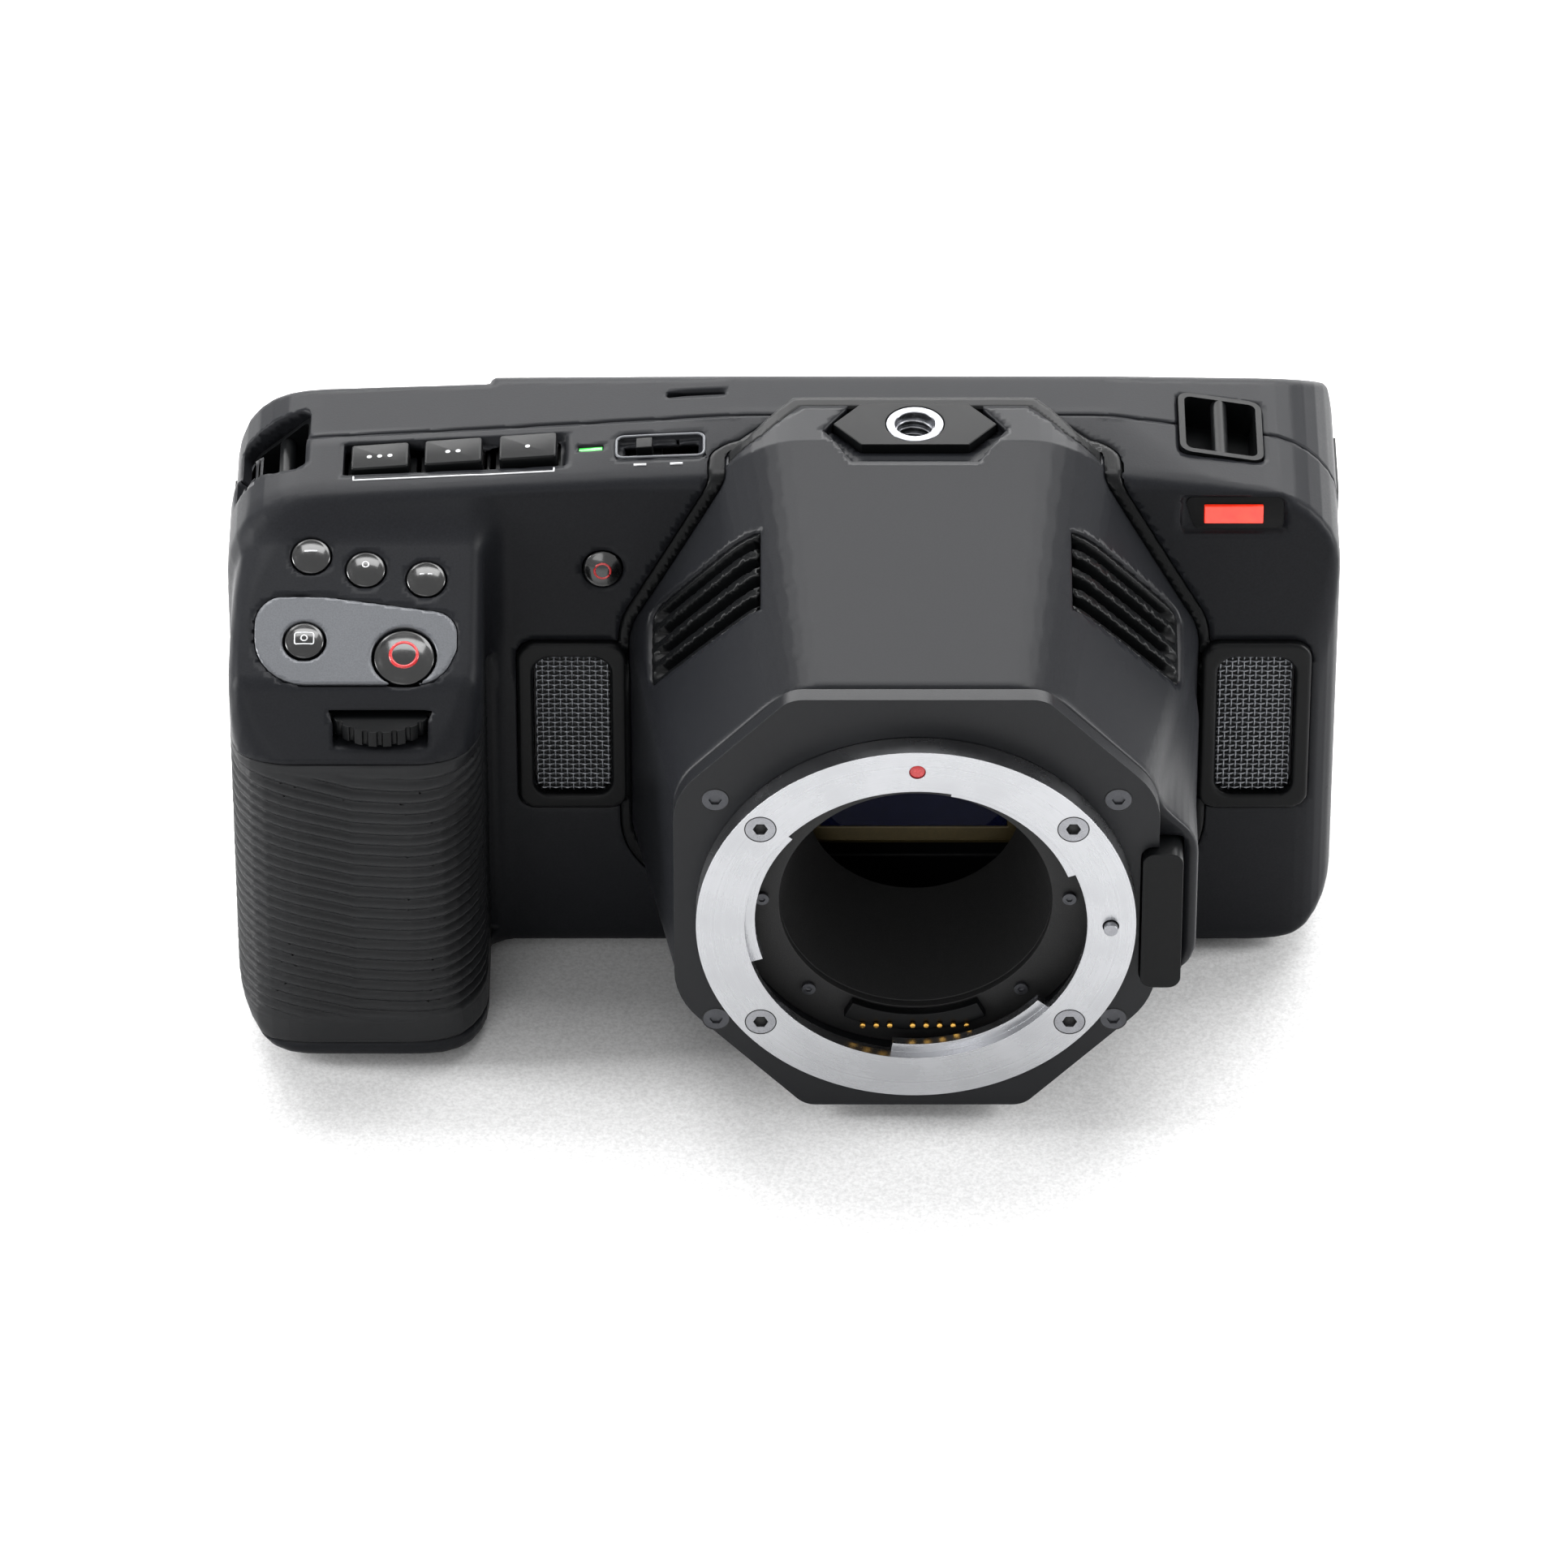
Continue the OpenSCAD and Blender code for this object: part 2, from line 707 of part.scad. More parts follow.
// Lugs of the battery door's hinge, bored for its pins
module door_lugs() {
    lug_x = (battery_size.x - door_lug_t) / 2;
    for (x = [battery_x - lug_x, battery_x + lug_x]) translate([x, door_hinge_y, 0]) difference() {
        slab(-door_lug_t / 2, door_lug_t / 2, -door_hinge_r, 2 * door_hinge_r, 0, 2 * door_hinge_r);
        translate([-door_lug_t, 0, door_hinge_r]) rotate([0, 90, 0])
            cylinder(r = door_pin_r + door_pin_fit, h = 2 * door_lug_t, $fn = round_fn);
    }
}
module front_casing() color(shell_tint) {
    front_tub();
    door_lugs();
}
module front_tub() difference() {
    intersection() {
        casing_form(0, 0);
        slab(-grip_side_w, port_side_w, -grip_reach, seam_y - seam_gap / 2, 0, hump_h);
    }
    casing_form(wall, grip_wall);
    difference() {
        rubber_zone(seat);
        grip_form(rubber_t + seat);
        slab(grip_inner_x - wall, 0, wall_y, seam_y, 0, hump_h);
    }
    housing_form(band + seat);
    mic_cut(mic_frame_t + seat, wall_y - over, wall_y + 2 * mic_depth);
    tray_cut();
    light_cut();
    switch_cut();
    dial_cut();
    pad_slab(seat, -pad_t - seat, 2 * over);
    for (b = small_buttons) on_slope(b[1], b[2]) button_hole(button_r);
    on_slope(still_at.x, still_at.y) button_hole(button_r + slack);
    on_slope(record_at.x, record_at.y) button_hole(record_r + slack);
    on_wall(front_record_x, front_record_h) button_hole(button_r);
    on_wall(tally_x, tally_h) tally_cut(seat);
    lug_places() lug_outer(seat);
    door_outline(swing);
    bay_slab(bay_wall + bay_fit + seat, door_t + swing - over / 2, grip_wall + 2 * over);
    translate([battery_x, door_hinge_y, door_hinge_r])
        slab(-battery_size.x / 2 - seat, battery_size.x / 2 + seat, -3 * door_hinge_r,
            door_hinge_r + swing, -2 * door_hinge_r, 2 * door_hinge_r);
    base_cut();
}

module rear_casing() color(shell_tint) difference() {
    intersection() {
        casing_form(0, 0);
        slab(-grip_side_w, port_side_w, seam_y + seam_gap / 2, back_y, 0, hump_h);
    }
    casing_form(wall, grip_wall);
    housing_form(band + seat);
    card_door_cut(slack);
    port_cut(slack, wall + over);
    slab(screen_left_x - seat, screen_left_x + screen_w + seat, glass_y - seat, back_y + over,
        screen_foot_h - seat, screen_foot_h + screen_h + seat);
    slab(speaker_x - speaker_w / 2, speaker_x + speaker_w / 2, speaker_y - speaker_d / 2,
        speaker_y + speaker_d / 2, deck_h - 2 * wall, hump_h);
    lug_places() lug_outer(seat);
    for (h = rear_heights) on_back(rear_x, h) button_hole(button_r);
    for (x = [-vent_x, vent_x], i = [0:vent_count - 1]) translate([x, vent_y + i * vent_pitch, 0])
        slab(-vent_w / 2, vent_w / 2, -vent_d / 2, vent_d / 2, -over, wall + over);
}

module mount_housing() color(housing_tint) difference() {
    housing_form(0);
    housing_form(-housing_wall);
    along_y(housing_y - over, housing_y + housing_wall + over)
        translate([0, axis_h]) circle(r = throat_r + housing_step, $fn = round_fn);
    louvre_cut(seat);
    pad_recess_cut();
    base_cut();
    release_pocket(slack, release_d + release_travel);
    along_y(housing_y - over, housing_y + housing_wall + over)
        translate([lock_x, axis_h]) circle(r = lock_r + slack, $fn = round_fn);
    for (p = mount_corners(plate_screw_x, plate_screw_z)) facing_front(p.x, housing_y, p.y)
        translate([0, 0, -housing_wall - over])
            cylinder(r = plate_head_r * hex_share + seat, h = 2 * housing_wall + over, $fn = round_fn);
}

// The band that fills the joint between housing and casings, with the grille frames
module trim_frame() color(black_tint) {
    difference() {
        intersection() {
            union() {
                core_form(-seat);
                screen_form(-seat);
            }
            housing_form(band);
        }
        core_form(wall + over);
        screen_form(wall + over);
        housing_form(seat);
        base_cut();
    }
    difference() {
        mic_cut(mic_frame_t, wall_y + seat, wall_y + mic_depth);
        mic_cut(0, wall_y - over, wall_y + 2 * mic_depth);
    }
}

// Sloped fins in the flanks of the housing, with a web behind them
louvre_front_top = [-19.3, 89.5];
louvre_rear_top = [-4, 92];
louvre_rear_foot = [3, 68.7];
louvre_front_foot = [-12, 64.4];
louvre_x = 24.5;
fins_per_side = 4;
fin_share = 0.55;
louvre_outer = -0.6;
louvre_inner = -3.2;
louvre_web = 0.8;
function between(a, b, share) = a + (b - a) * share;
module louvre_strip(from_share, to_share, grow) {
    mirrored_x() along_x(louvre_x - grow, base_side_half) offset(delta = grow) polygon([
        between(louvre_front_top, louvre_rear_top, from_share),
        between(louvre_front_top, louvre_rear_top, to_share),
        between(louvre_front_foot, louvre_rear_foot, to_share),
        between(louvre_front_foot, louvre_rear_foot, from_share)
    ]);
}
module louvre_cut(grow) {
    louvre_strip(0, 1, grow);
}
module louvre_inserts() color(black_tint) {
    difference() {
        union() {
            intersection() {
                cone_form(louvre_outer);
                for (i = [0:fins_per_side - 1])
                    louvre_strip(i / fins_per_side, (i + fin_share) / fins_per_side, 0);
            }
            intersection() {
                cone_form(louvre_inner + louvre_web);
                louvre_strip(0, 1, 0);
            }
        }
        cone_form(louvre_inner);
    }
}
function mount_corners(x, z) = [for (s = [-1, 1], t = [-1, 1]) [s * x, axis_h + t * z]];
module mount_disc(r, y0, y1) {
    along_y(y0, y1) translate([0, axis_h]) circle(r = r, $fn = 2 * round_fn);
}
module release_pocket(grow, deep) {
    along_y(plate_y - release_proud - over, plate_y + deep) translate([0, axis_h]) polygon(rounded(
        box_points(release_in_x - grow, release_out_x + grow, release_foot - grow, release_top + grow),
        [for (i = [0:3]) release_corner]));
}
module mount_plate() color(black_tint) difference() {
    along_y(plate_y, housing_y - seat) plate_view(0);
    mount_disc(well_r, plate_y - over, housing_y + over);
    release_pocket(slack, plate_t + over);
    for (p = mount_corners(plate_screw_x, plate_screw_z)) facing_front(p.x, plate_y, p.y) {
        translate([0, 0, -plate_head_t - seat])
            cylinder(r = plate_head_r + seat, h = plate_t, $fn = round_fn);
        translate([0, 0, -plate_t - over])
            cylinder(r = plate_head_r * hex_share + seat, h = plate_t + over, $fn = round_fn);
    }
    facing_front(lock_x, plate_y, axis_h) translate([0, 0, -plate_t - over])
        cylinder(r = lock_r + slack, h = plate_t + 2 * over, $fn = round_fn);
}
// A socket head screw that points forwards: head, hexagon recess and shank
module socket_screw(head_r, head_t, shank) {
    difference() {
        translate([0, 0, -head_t]) cylinder(r = head_r, h = head_t, $fn = round_fn);
        translate([0, 0, -head_t * hex_share]) cylinder(r = head_r * hex_share, h = head_t, $fn = 6);
    }
    translate([0, 0, -head_t - shank]) cylinder(r = head_r * hex_share, h = shank + seat, $fn = round_fn);
}
module plate_screws() color(black_tint)
    for (p = mount_corners(plate_screw_x, plate_screw_z)) facing_front(p.x, plate_y, p.y)
        socket_screw(plate_head_r, plate_head_t, plate_t);
module ring_screws() color(steel_tint)
    for (p = mount_corners(ring_screw_x, ring_screw_z)) facing_front(p.x, flange_y, p.y)
        socket_screw(ring_head_r, ring_head_t, ring_proud - ring_head_t - 2 * seat);

module bayonet_ring() color(steel_tint) {
    difference() {
        mount_disc(ring_r, flange_y, plate_y - seat);
        mount_disc(throat_r, flange_y - over, plate_y + over);
        mount_disc(groove_r, flange_y + claw_lip_t, plate_y + over);
        for (p = mount_corners(ring_screw_x, ring_screw_z)) facing_front(p.x, flange_y, p.y)
            translate([0, 0, -ring_proud - over]) {
                cylinder(r = ring_head_r * hex_share + seat, h = ring_proud + 2 * over, $fn = round_fn);
                translate([0, 0, ring_proud + over - ring_head_t - seat])
                    cylinder(r = ring_head_r + seat, h = ring_proud, $fn = round_fn);
            }
        facing_front(lock_x, flange_y, axis_h) translate([0, 0, -ring_proud - over])
            cylinder(r = lock_r + slack, h = ring_proud + 2 * over, $fn = round_fn);
        facing_front(0, flange_y, axis_h + dot_up) translate([0, 0, -dot_t])
            cylinder(r = dot_r, h = dot_t + over, $fn = round_fn);
    }
    translate([0, flange_y + claw_lip_t + claw_t, axis_h]) rotate([90, 0, 0])
        for (a = claw_start) rotate([0, 0, a]) rotate_extrude(angle = claw_span, $fn = 2 * round_fn)
            translate([throat_r - claw_reach, 0])
                square([claw_reach + groove_r - throat_r + seat, claw_t + seat]);
}

module light_trap() color(black_tint) difference() {
    mount_disc(well_r - seat, trap_y, trap_y + trap_t);
    mount_disc(trap_in_r, trap_y - over, trap_y + trap_t + over);
    for (a = trap_screw_angles) trap_screw_place(a)
        cylinder(r = trap_head_r * hex_share + seat, h = 3 * over, center = true, $fn = round_fn);
}
module trap_screw_place(a) {
    facing_front(trap_screw_r * cos(a), trap_y, axis_h + trap_screw_r * sin(a)) children();
}
module trap_screws() color(black_tint)
    for (a = trap_screw_angles) trap_screw_place(a)
        translate([0, 0, trap_head_t + seat / 2]) socket_screw(trap_head_r, trap_head_t, trap_t / 2);

module throat_tube() color(black_tint) {
    front_y = trap_y + trap_t + seat;
    translate([0, throat_back_y, axis_h]) rotate([90, 0, 0]) rotate_extrude($fn = 2 * round_fn) polygon([
        [throat_back_r, 0], [throat_back_r + throat_wall, 0],
        [throat_front_r + throat_wall, throat_back_y - front_y - throat_wall],
        [well_r, throat_back_y - front_y - throat_wall], [well_r, throat_back_y - front_y],
        [trap_in_r, throat_back_y - front_y]
    ]);
}

module contact_block() color(black_tint)
    translate([0, trap_y - seat, axis_h]) rotate([90, 0, 0])
        rotate([0, 0, -90 - block_half_angle])
            rotate_extrude(angle = 2 * block_half_angle, $fn = 2 * round_fn)
                translate([block_in_r, 0]) square([block_out_r - block_in_r - claw_reach, block_t]);
function pin_x(i) =
    (i - (pin_count - 1) / 2) * pin_pitch + (i < pin_gap_after ? -pin_gap / 2 : pin_gap / 2);
module contact_pins() color(gold_tint)
    for (i = [0:pin_count - 1])
        facing_front(pin_x(i), trap_y - block_t - 2 * seat, axis_h - pin_drop)
            cylinder(r = pin_r, h = pin_h, $fn = round_fn);

module lens_release() color(black_tint) {
    difference() {
        release_pocket(0, release_d);
        slab(0, bulge_x, plate_y - release_proud - 2 * over, plate_y - release_proud, 0, hump_h);
    }
    slab(lock_x - lock_r, release_in_x + over, lock_arm_y, lock_arm_y + over,
        axis_h - 2 * lock_r, axis_h + 2 * lock_r);
}
module lock_pin() color(steel_tint)
    along_y(flange_y - lock_show, lock_arm_y - seat) translate([lock_x, axis_h])
        circle(r = lock_r, $fn = round_fn);
lock_show = 1.2;
lock_arm_y = housing_y + housing_wall + swing;

module filter_glass() color([0.15, 0.2, 0.45])
    slab(-sensor_w / 2, sensor_w / 2, filter_y, filter_y + filter_t,
        axis_h - sensor_h / 2, axis_h + sensor_h / 2);
module image_sensor() color([0.1, 0.12, 0.2])
    slab(-sensor_w / 2, sensor_w / 2, 0, sensor_t, axis_h - sensor_h / 2 - sensor_margin,
        axis_h + sensor_h / 2 + sensor_margin);
module sensor_carrier() color([0.45, 0.4, 0.25]) difference() {
    union() {
        slab(-carrier_w / 2, carrier_w / 2, carrier_y, carrier_y + carrier_t,
            axis_h - carrier_h / 2, axis_h + carrier_h / 2);
        slab(-sensor_w / 2 - carrier_rim, sensor_w / 2 + carrier_rim, filter_y, carrier_y + seat,
            axis_h - sensor_h / 2 - carrier_rim, axis_h + sensor_h / 2 + carrier_rim);
    }
    slab(-sensor_w / 2 - seat, sensor_w / 2 + seat, filter_y - over, filter_y + filter_t + seat,
        axis_h - sensor_h / 2 - seat, axis_h + sensor_h / 2 + seat);
    slab(sensor_margin - sensor_w / 2, sensor_w / 2 - sensor_margin, filter_y, carrier_y,
        axis_h - sensor_h / 2 + sensor_margin, axis_h + sensor_h / 2 - sensor_margin);
    slab(-sensor_w / 2 - seat, sensor_w / 2 + seat, -seat, carrier_y,
        axis_h - sensor_h / 2 - sensor_margin - seat, axis_h + sensor_h / 2 + sensor_margin + seat);
}
module heat_sink() color([0.7, 0.71, 0.73]) {
    slab(-carrier_h / 2, carrier_h / 2, sink_y, sink_y + sink_base_t,
        axis_h - carrier_h / 2, axis_h + carrier_h / 2);
    for (i = [0:fin_count - 1])
        translate([(carrier_h - fin_t) * (i / (fin_count - 1) - 0.5), 0, 0])
            slab(-fin_t / 2, fin_t / 2, sink_y + sink_base_t - seat, sink_y + sink_d,
                axis_h - carrier_h / 2, axis_h + carrier_h / 2);
}
strut_share = 0.15;
module fan_frame() color(black_tint) {
    difference() {
        slab(-fan_w / 2, fan_w / 2, fan_y, fan_y + fan_d, axis_h - fan_w / 2, axis_h + fan_w / 2);
        mount_disc(fan_r, fan_y - over, fan_y + fan_d + over);
    }
    strut_y = fan_y + fan_d * (1 - strut_share);
    for (a = [0, 120, 240]) translate([0, strut_y, axis_h]) rotate([0, a, 0])
        slab(0, fan_r + over, 0, fan_d * strut_share, -strut_w / 2, strut_w / 2);
    mount_disc(fan_hub_r, strut_y, fan_y + fan_d);
    mount_disc(fan_shaft_r, fan_y + over, strut_y + seat);
}
module fan_rotor() color([0.12, 0.12, 0.13]) {
    back = fan_y + fan_d * (1 - strut_share) - swing;
    difference() {
        union() {
            mount_disc(fan_hub_r, fan_y + over, back);
            for (i = [0:blade_count - 1]) translate([0, (fan_y + over + back) / 2, axis_h])
                rotate([0, i * 360 / blade_count, 0]) rotate([blade_pitch, 0, 0])
                    slab(fan_hub_r - over, fan_r - blade_gap, -blade_t / 2, blade_t / 2,
                        -blade_w / 2, blade_w / 2);
        }
        mount_disc(fan_shaft_r + running, fan_y - over, back + over);
    }
}
function deck_at(x) = grip_deck_h + (x - deck_grip_x) * tan(deck_tilt);
module chassis_slab(x0, x1, z0, z1) {
    slab(x0, x1, chassis_y, chassis_y + chassis_t, z0, z1);
}
module chassis() color([0.6, 0.61, 0.63]) {
    difference() {
        chassis_slab(chassis_left_x, chassis_right_x, chassis_foot_h, chassis_top_h);
        mount_disc(fan_r - over, chassis_y - over, chassis_y + chassis_t + over);
    }
    for (x = standoff_xs, z = standoff_hs) facing_front(x, board_y - seat, z)
        cylinder(r = standoff_r, h = board_y - seat - chassis_y - over, $fn = round_fn);
    // Feet down to the floor of the casing, a tongue up to the deck, a tab to the card holder
    for (x = foot_xs) chassis_slab(x, x + foot_w, wall + seat, chassis_foot_h + seat);
    chassis_slab(tongue_x, tongue_x + foot_w, chassis_top_h - seat, deck_at(tongue_x) - wall - 2 * seat);
    chassis_slab(tab_x, chassis_left_x + seat, card_foot_h, card_foot_h + card_size.z);
    // Arms forward to the sensor carrier, beside the heat sink
    for (s = [-1, 1]) translate([s * (carrier_w / 2 - arm_w / 2 - seat), 0, 0])
        slab(-arm_w / 2, arm_w / 2, carrier_y + carrier_t + seat, chassis_y + seat,
            axis_h - arm_h / 2, axis_h + arm_h / 2);
}
module main_board() color([0.1, 0.3, 0.18])
    slab(chassis_left_x + board_inset, chassis_right_x - board_inset, board_y, board_y + board_t,
        chassis_foot_h + board_inset, chassis_top_h - board_inset);
module screen_panel() color([0.55, 0.56, 0.58]) {
    slab(screen_left_x + panel_inset, screen_left_x + screen_w - panel_inset, panel_y, panel_y + panel_t,
        screen_foot_h + panel_inset, screen_foot_h + screen_h - panel_inset);
    for (x = post_xs, z = post_hs) facing_front(x, panel_y + seat, z)
        cylinder(r = standoff_r, h = panel_y - board_y - board_t, $fn = round_fn);
}
module screen_glass() color([0.08, 0.08, 0.09])
    slab(screen_left_x, screen_left_x + screen_w, glass_y, glass_y + glass_t,
        screen_foot_h, screen_foot_h + screen_h);

bay_top = battery_foot_h + battery_size.z + bay_fit + bay_wall;
module battery_bay() color(black_tint) {
    difference() {
        bay_slab(bay_wall + bay_fit, bay_foot_h, bay_top);
        bay_slab(bay_fit, bay_foot_h - over, bay_top - bay_wall);
    }
    translate([dial_x, dial_y, bay_top - seat])
        cylinder(r = stud_r, h = dial_h + dial_t / 2 - bay_top, $fn = round_fn);
}
module battery() color([0.2, 0.2, 0.22])
    translate([battery_x, battery_y, battery_foot_h]) {
        soft_slab(-battery_size.x / 2, battery_size.x / 2, -battery_size.y / 2, battery_size.y / 2,
            0, battery_size.z, battery_corner);
    }
module battery_door() color(shell_tint) {
    half = battery_size / 2;
    intersection() {
        door_outline(0);
        grip_form(0);
    }
    slab(battery_x - door_barrel / 2, battery_x + door_barrel / 2, battery_y + half.y - over,
        door_hinge_y, 0, door_t);
    translate([battery_x - door_barrel / 2, door_hinge_y, door_hinge_r]) rotate([0, 90, 0])
        cylinder(r = door_hinge_r, h = door_barrel, $fn = round_fn);
    translate([battery_x - half.x + over, door_hinge_y, door_hinge_r]) rotate([0, 90, 0])
        cylinder(r = door_pin_r, h = battery_size.x - 2 * over, $fn = round_fn);
}

module card_door() color(shell_tint) {
    slab(-grip_side_w, wall - grip_side_w - seat, card_door_front_y + 2 * hinge_r, card_door_back_y,
        card_door_foot_h + slack, card_door_top_h - slack);
    translate([hinge_r - grip_side_w, card_door_front_y + hinge_r, card_door_foot_h + slack])
        cylinder(r = hinge_r, h = card_door_top_h - card_door_foot_h - 2 * slack, $fn = round_fn);
    slab(-grip_side_w, hinge_r - grip_side_w, card_door_front_y + hinge_r, card_door_front_y + 3 * hinge_r,
        card_door_foot_h + slack, card_door_top_h - slack);
}
module card_holder() color([0.62, 0.63, 0.65]) {
    x0 = wall + card_inset - grip_side_w;
    mid = (card_door_front_y + card_door_back_y) / 2;
    front_y = mid - card_size.y / 2 - slack - over;
    slab(tab_x, x0 + card_size.x, chassis_y + chassis_t + seat, front_y + seat,
        card_foot_h, card_foot_h + card_size.z);
    difference() {
        slab(x0, x0 + card_size.x, front_y, mid + card_size.y / 2 + slack + over,
            card_foot_h - over - seat, card_foot_h + card_size.z + over + seat);
        slab(x0 - over, x0 + card_size.x - over, mid - card_size.y / 2 - slack,
            mid + card_size.y / 2 + slack, card_foot_h - slack, card_foot_h + card_size.z + slack);
    }
}

module port_block() color(black_tint) difference() {
    slab(port_side_w - port_sink - port_block_t, port_side_w - port_sink, port_front_y - port_rim,
        port_back_y + port_rim, port_foot_h - port_rim, port_top_h + port_rim);
    for (s = socket_spots) translate([0, s[1], s[2]])
        slab(port_side_w - port_sink - port_block_t - over, port_side_w - port_sink + over,
            -s[3] / 2 - seat, s[3] / 2 + seat, -s[4] / 2 - seat, s[4] / 2 + seat);
}
port_mid_y = (port_front_y + port_back_y) / 2;
// Each socket: its use, then its place along Y and Z, its width and its height
socket_spots = [
    ["power", port_mid_y, port_top_h - power_drop, power_w, power_w],
    ["sound", port_mid_y, port_top_h - upper_sound_drop, sound_w, sound_w],
    ["sound", port_mid_y, port_top_h - lower_sound_drop, sound_w, sound_w],
    ["video", port_mid_y, port_foot_h + video_rise, video_w, video_h],
    ["data", port_mid_y, port_foot_h + data_rise, data_w, data_h]
];
// A metal or plastic shell round a hollow that opens outwards
module socket_shell(s) {
    translate([port_side_w - port_sink - socket_d, s[1], s[2]]) difference() {
        slab(0, socket_d, -s[3] / 2, s[3] / 2, -s[4] / 2, s[4] / 2);
        slab(over, socket_d + over, socket_wall - s[3] / 2, s[3] / 2 - socket_wall,
            socket_wall - s[4] / 2, s[4] / 2 - socket_wall);
    }
}
module video_sockets() color(steel_tint) {
    socket_shell(socket_spots[3]);
    socket_shell(socket_spots[4]);
}
module round_socket(s, bore_r) {
    translate([port_side_w - port_sink - socket_d, s[1], s[2]]) rotate([0, 90, 0]) difference() {
        cylinder(d = s[3], h = socket_d, $fn = round_fn);
        translate([0, 0, over]) cylinder(r = bore_r, h = socket_d, $fn = round_fn);
    }
}
module sound_sockets() color(black_tint) {
    round_socket(socket_spots[1], jack_r);
    round_socket(socket_spots[2], jack_r);
}
module power_socket() color(steel_tint) {
    round_socket(socket_spots[0], plug_r);
}
module port_flap() color(black_tint) {
    slab(port_side_w - flap_t, port_side_w, port_front_y + 2 * hinge_r, port_back_y,
        port_foot_h + slack, port_top_h - slack);
    translate([port_side_w - hinge_r, port_front_y + hinge_r, port_foot_h + slack])
        cylinder(r = hinge_r, h = port_top_h - port_foot_h - 2 * slack, $fn = round_fn);
    slab(port_side_w - hinge_r, port_side_w, port_front_y + hinge_r, port_front_y + 3 * hinge_r,
        port_foot_h + slack, port_top_h - slack);
}

module mic_grilles() color([0.12, 0.12, 0.13])
    mic_cut(-seat, wall_y + mic_sink, wall_y + mic_sink + mic_mesh_t);

module tally_cut(grow) {
    soft_slab(-tally_frame_w / 2, tally_frame_w / 2, -tally_frame_h / 2, tally_frame_h / 2,
        -tally_depth / 2, 3 * over, tally_corner);
    slab(-tally_w / 2 - grow, tally_w / 2 + grow, -tally_t / 2 - grow, tally_t / 2 + grow, -3 * wall, 0);
}
module tally_lens() color([0.9, 0.15, 0.08])
    on_wall(tally_x, tally_h)
        slab(-tally_w / 2, tally_w / 2, -tally_t / 2, tally_t / 2, -tally_depth, 0);
module power_light() color([0.2, 0.85, 0.2])
    on_deck(light_x, function_y)
        slab(-light_w / 2, light_w / 2, -light_d / 2, light_d / 2, -wall, 0);

module finger_rest() color([0.42, 0.43, 0.44]) difference() {
    pad_slab(0, -pad_t, 0);
    on_slope(still_at.x, still_at.y) button_hole(button_r + slack);
    on_slope(record_at.x, record_at.y) button_hole(record_r + slack);
}
module grip_rubber() color([0.07, 0.07, 0.075]) difference() {
    intersection() {
        grip_form(0);
        rubber_zone(0);
    }
    grip_form(rubber_t);
    slab(grip_inner_x - wall - seat, 0, wall_y - seat, seam_y, 0, hump_h);
}

module lug_outer(grow) {
    soft_slab(-lug_w / 2 - grow, lug_w / 2 + grow, -lug_d / 2 - grow, lug_d / 2 + grow,
        -lug_depth - grow, 3 * over, lug_corner);
}
module strap_lugs() color(black_tint) lug_places() {
    difference() {
        soft_slab(-lug_w / 2, lug_w / 2, -lug_d / 2, lug_d / 2, -lug_depth, 0, lug_corner);
        soft_slab(lug_wall - lug_w / 2, lug_w / 2 - lug_wall, lug_wall - lug_d / 2, lug_d / 2 - lug_wall,
            lug_wall - lug_depth, over, lug_in_corner);
    }
    translate([0, 0, -lug_bar_w / 2]) rotate([90, 0, 0])
        cylinder(d = lug_bar_w, h = lug_d - lug_wall, center = true, $fn = round_fn);
}

module pad_shape(grow) {
    w = pad_w / 2 + grow;
    d = pad_d / 2 + grow;
    polygon([
        [pad_chamfer - w, -d], [w - pad_chamfer, -d], [w, 0], [w - pad_chamfer, d],
        [pad_chamfer - w, d], [-w, 0]
    ]);
}
module pad_recess_cut() {
    translate([0, pad_y, hump_h - pad_h]) linear_extrude(pad_h + over) pad_shape(seat);
    translate([0, pad_y - pad_recess, hump_h - pad_h / 2]) linear_extrude(pad_h) pad_shape(pad_recess);
}
module thread_pad() color(black_tint) difference() {
    translate([0, pad_y, hump_h - pad_h]) linear_extrude(pad_h) pad_shape(0);
    translate([0, pad_y, hump_h - pad_h - over])
        cylinder(r = insert_r + seat, h = pad_h + 2 * over, $fn = round_fn);
}
module threaded_post(r, from_h, to_h, y) {
    translate([0, y, from_h]) difference() {
        cylinder(r = r, h = to_h - from_h, $fn = round_fn);
        translate([0, 0, -over]) cylinder(r = thread_r, h = to_h - from_h + 2 * over, $fn = round_fn);
    }
}
module thread_insert() color(steel_tint) threaded_post(insert_r, hump_h - thread_d, hump_h, pad_y);

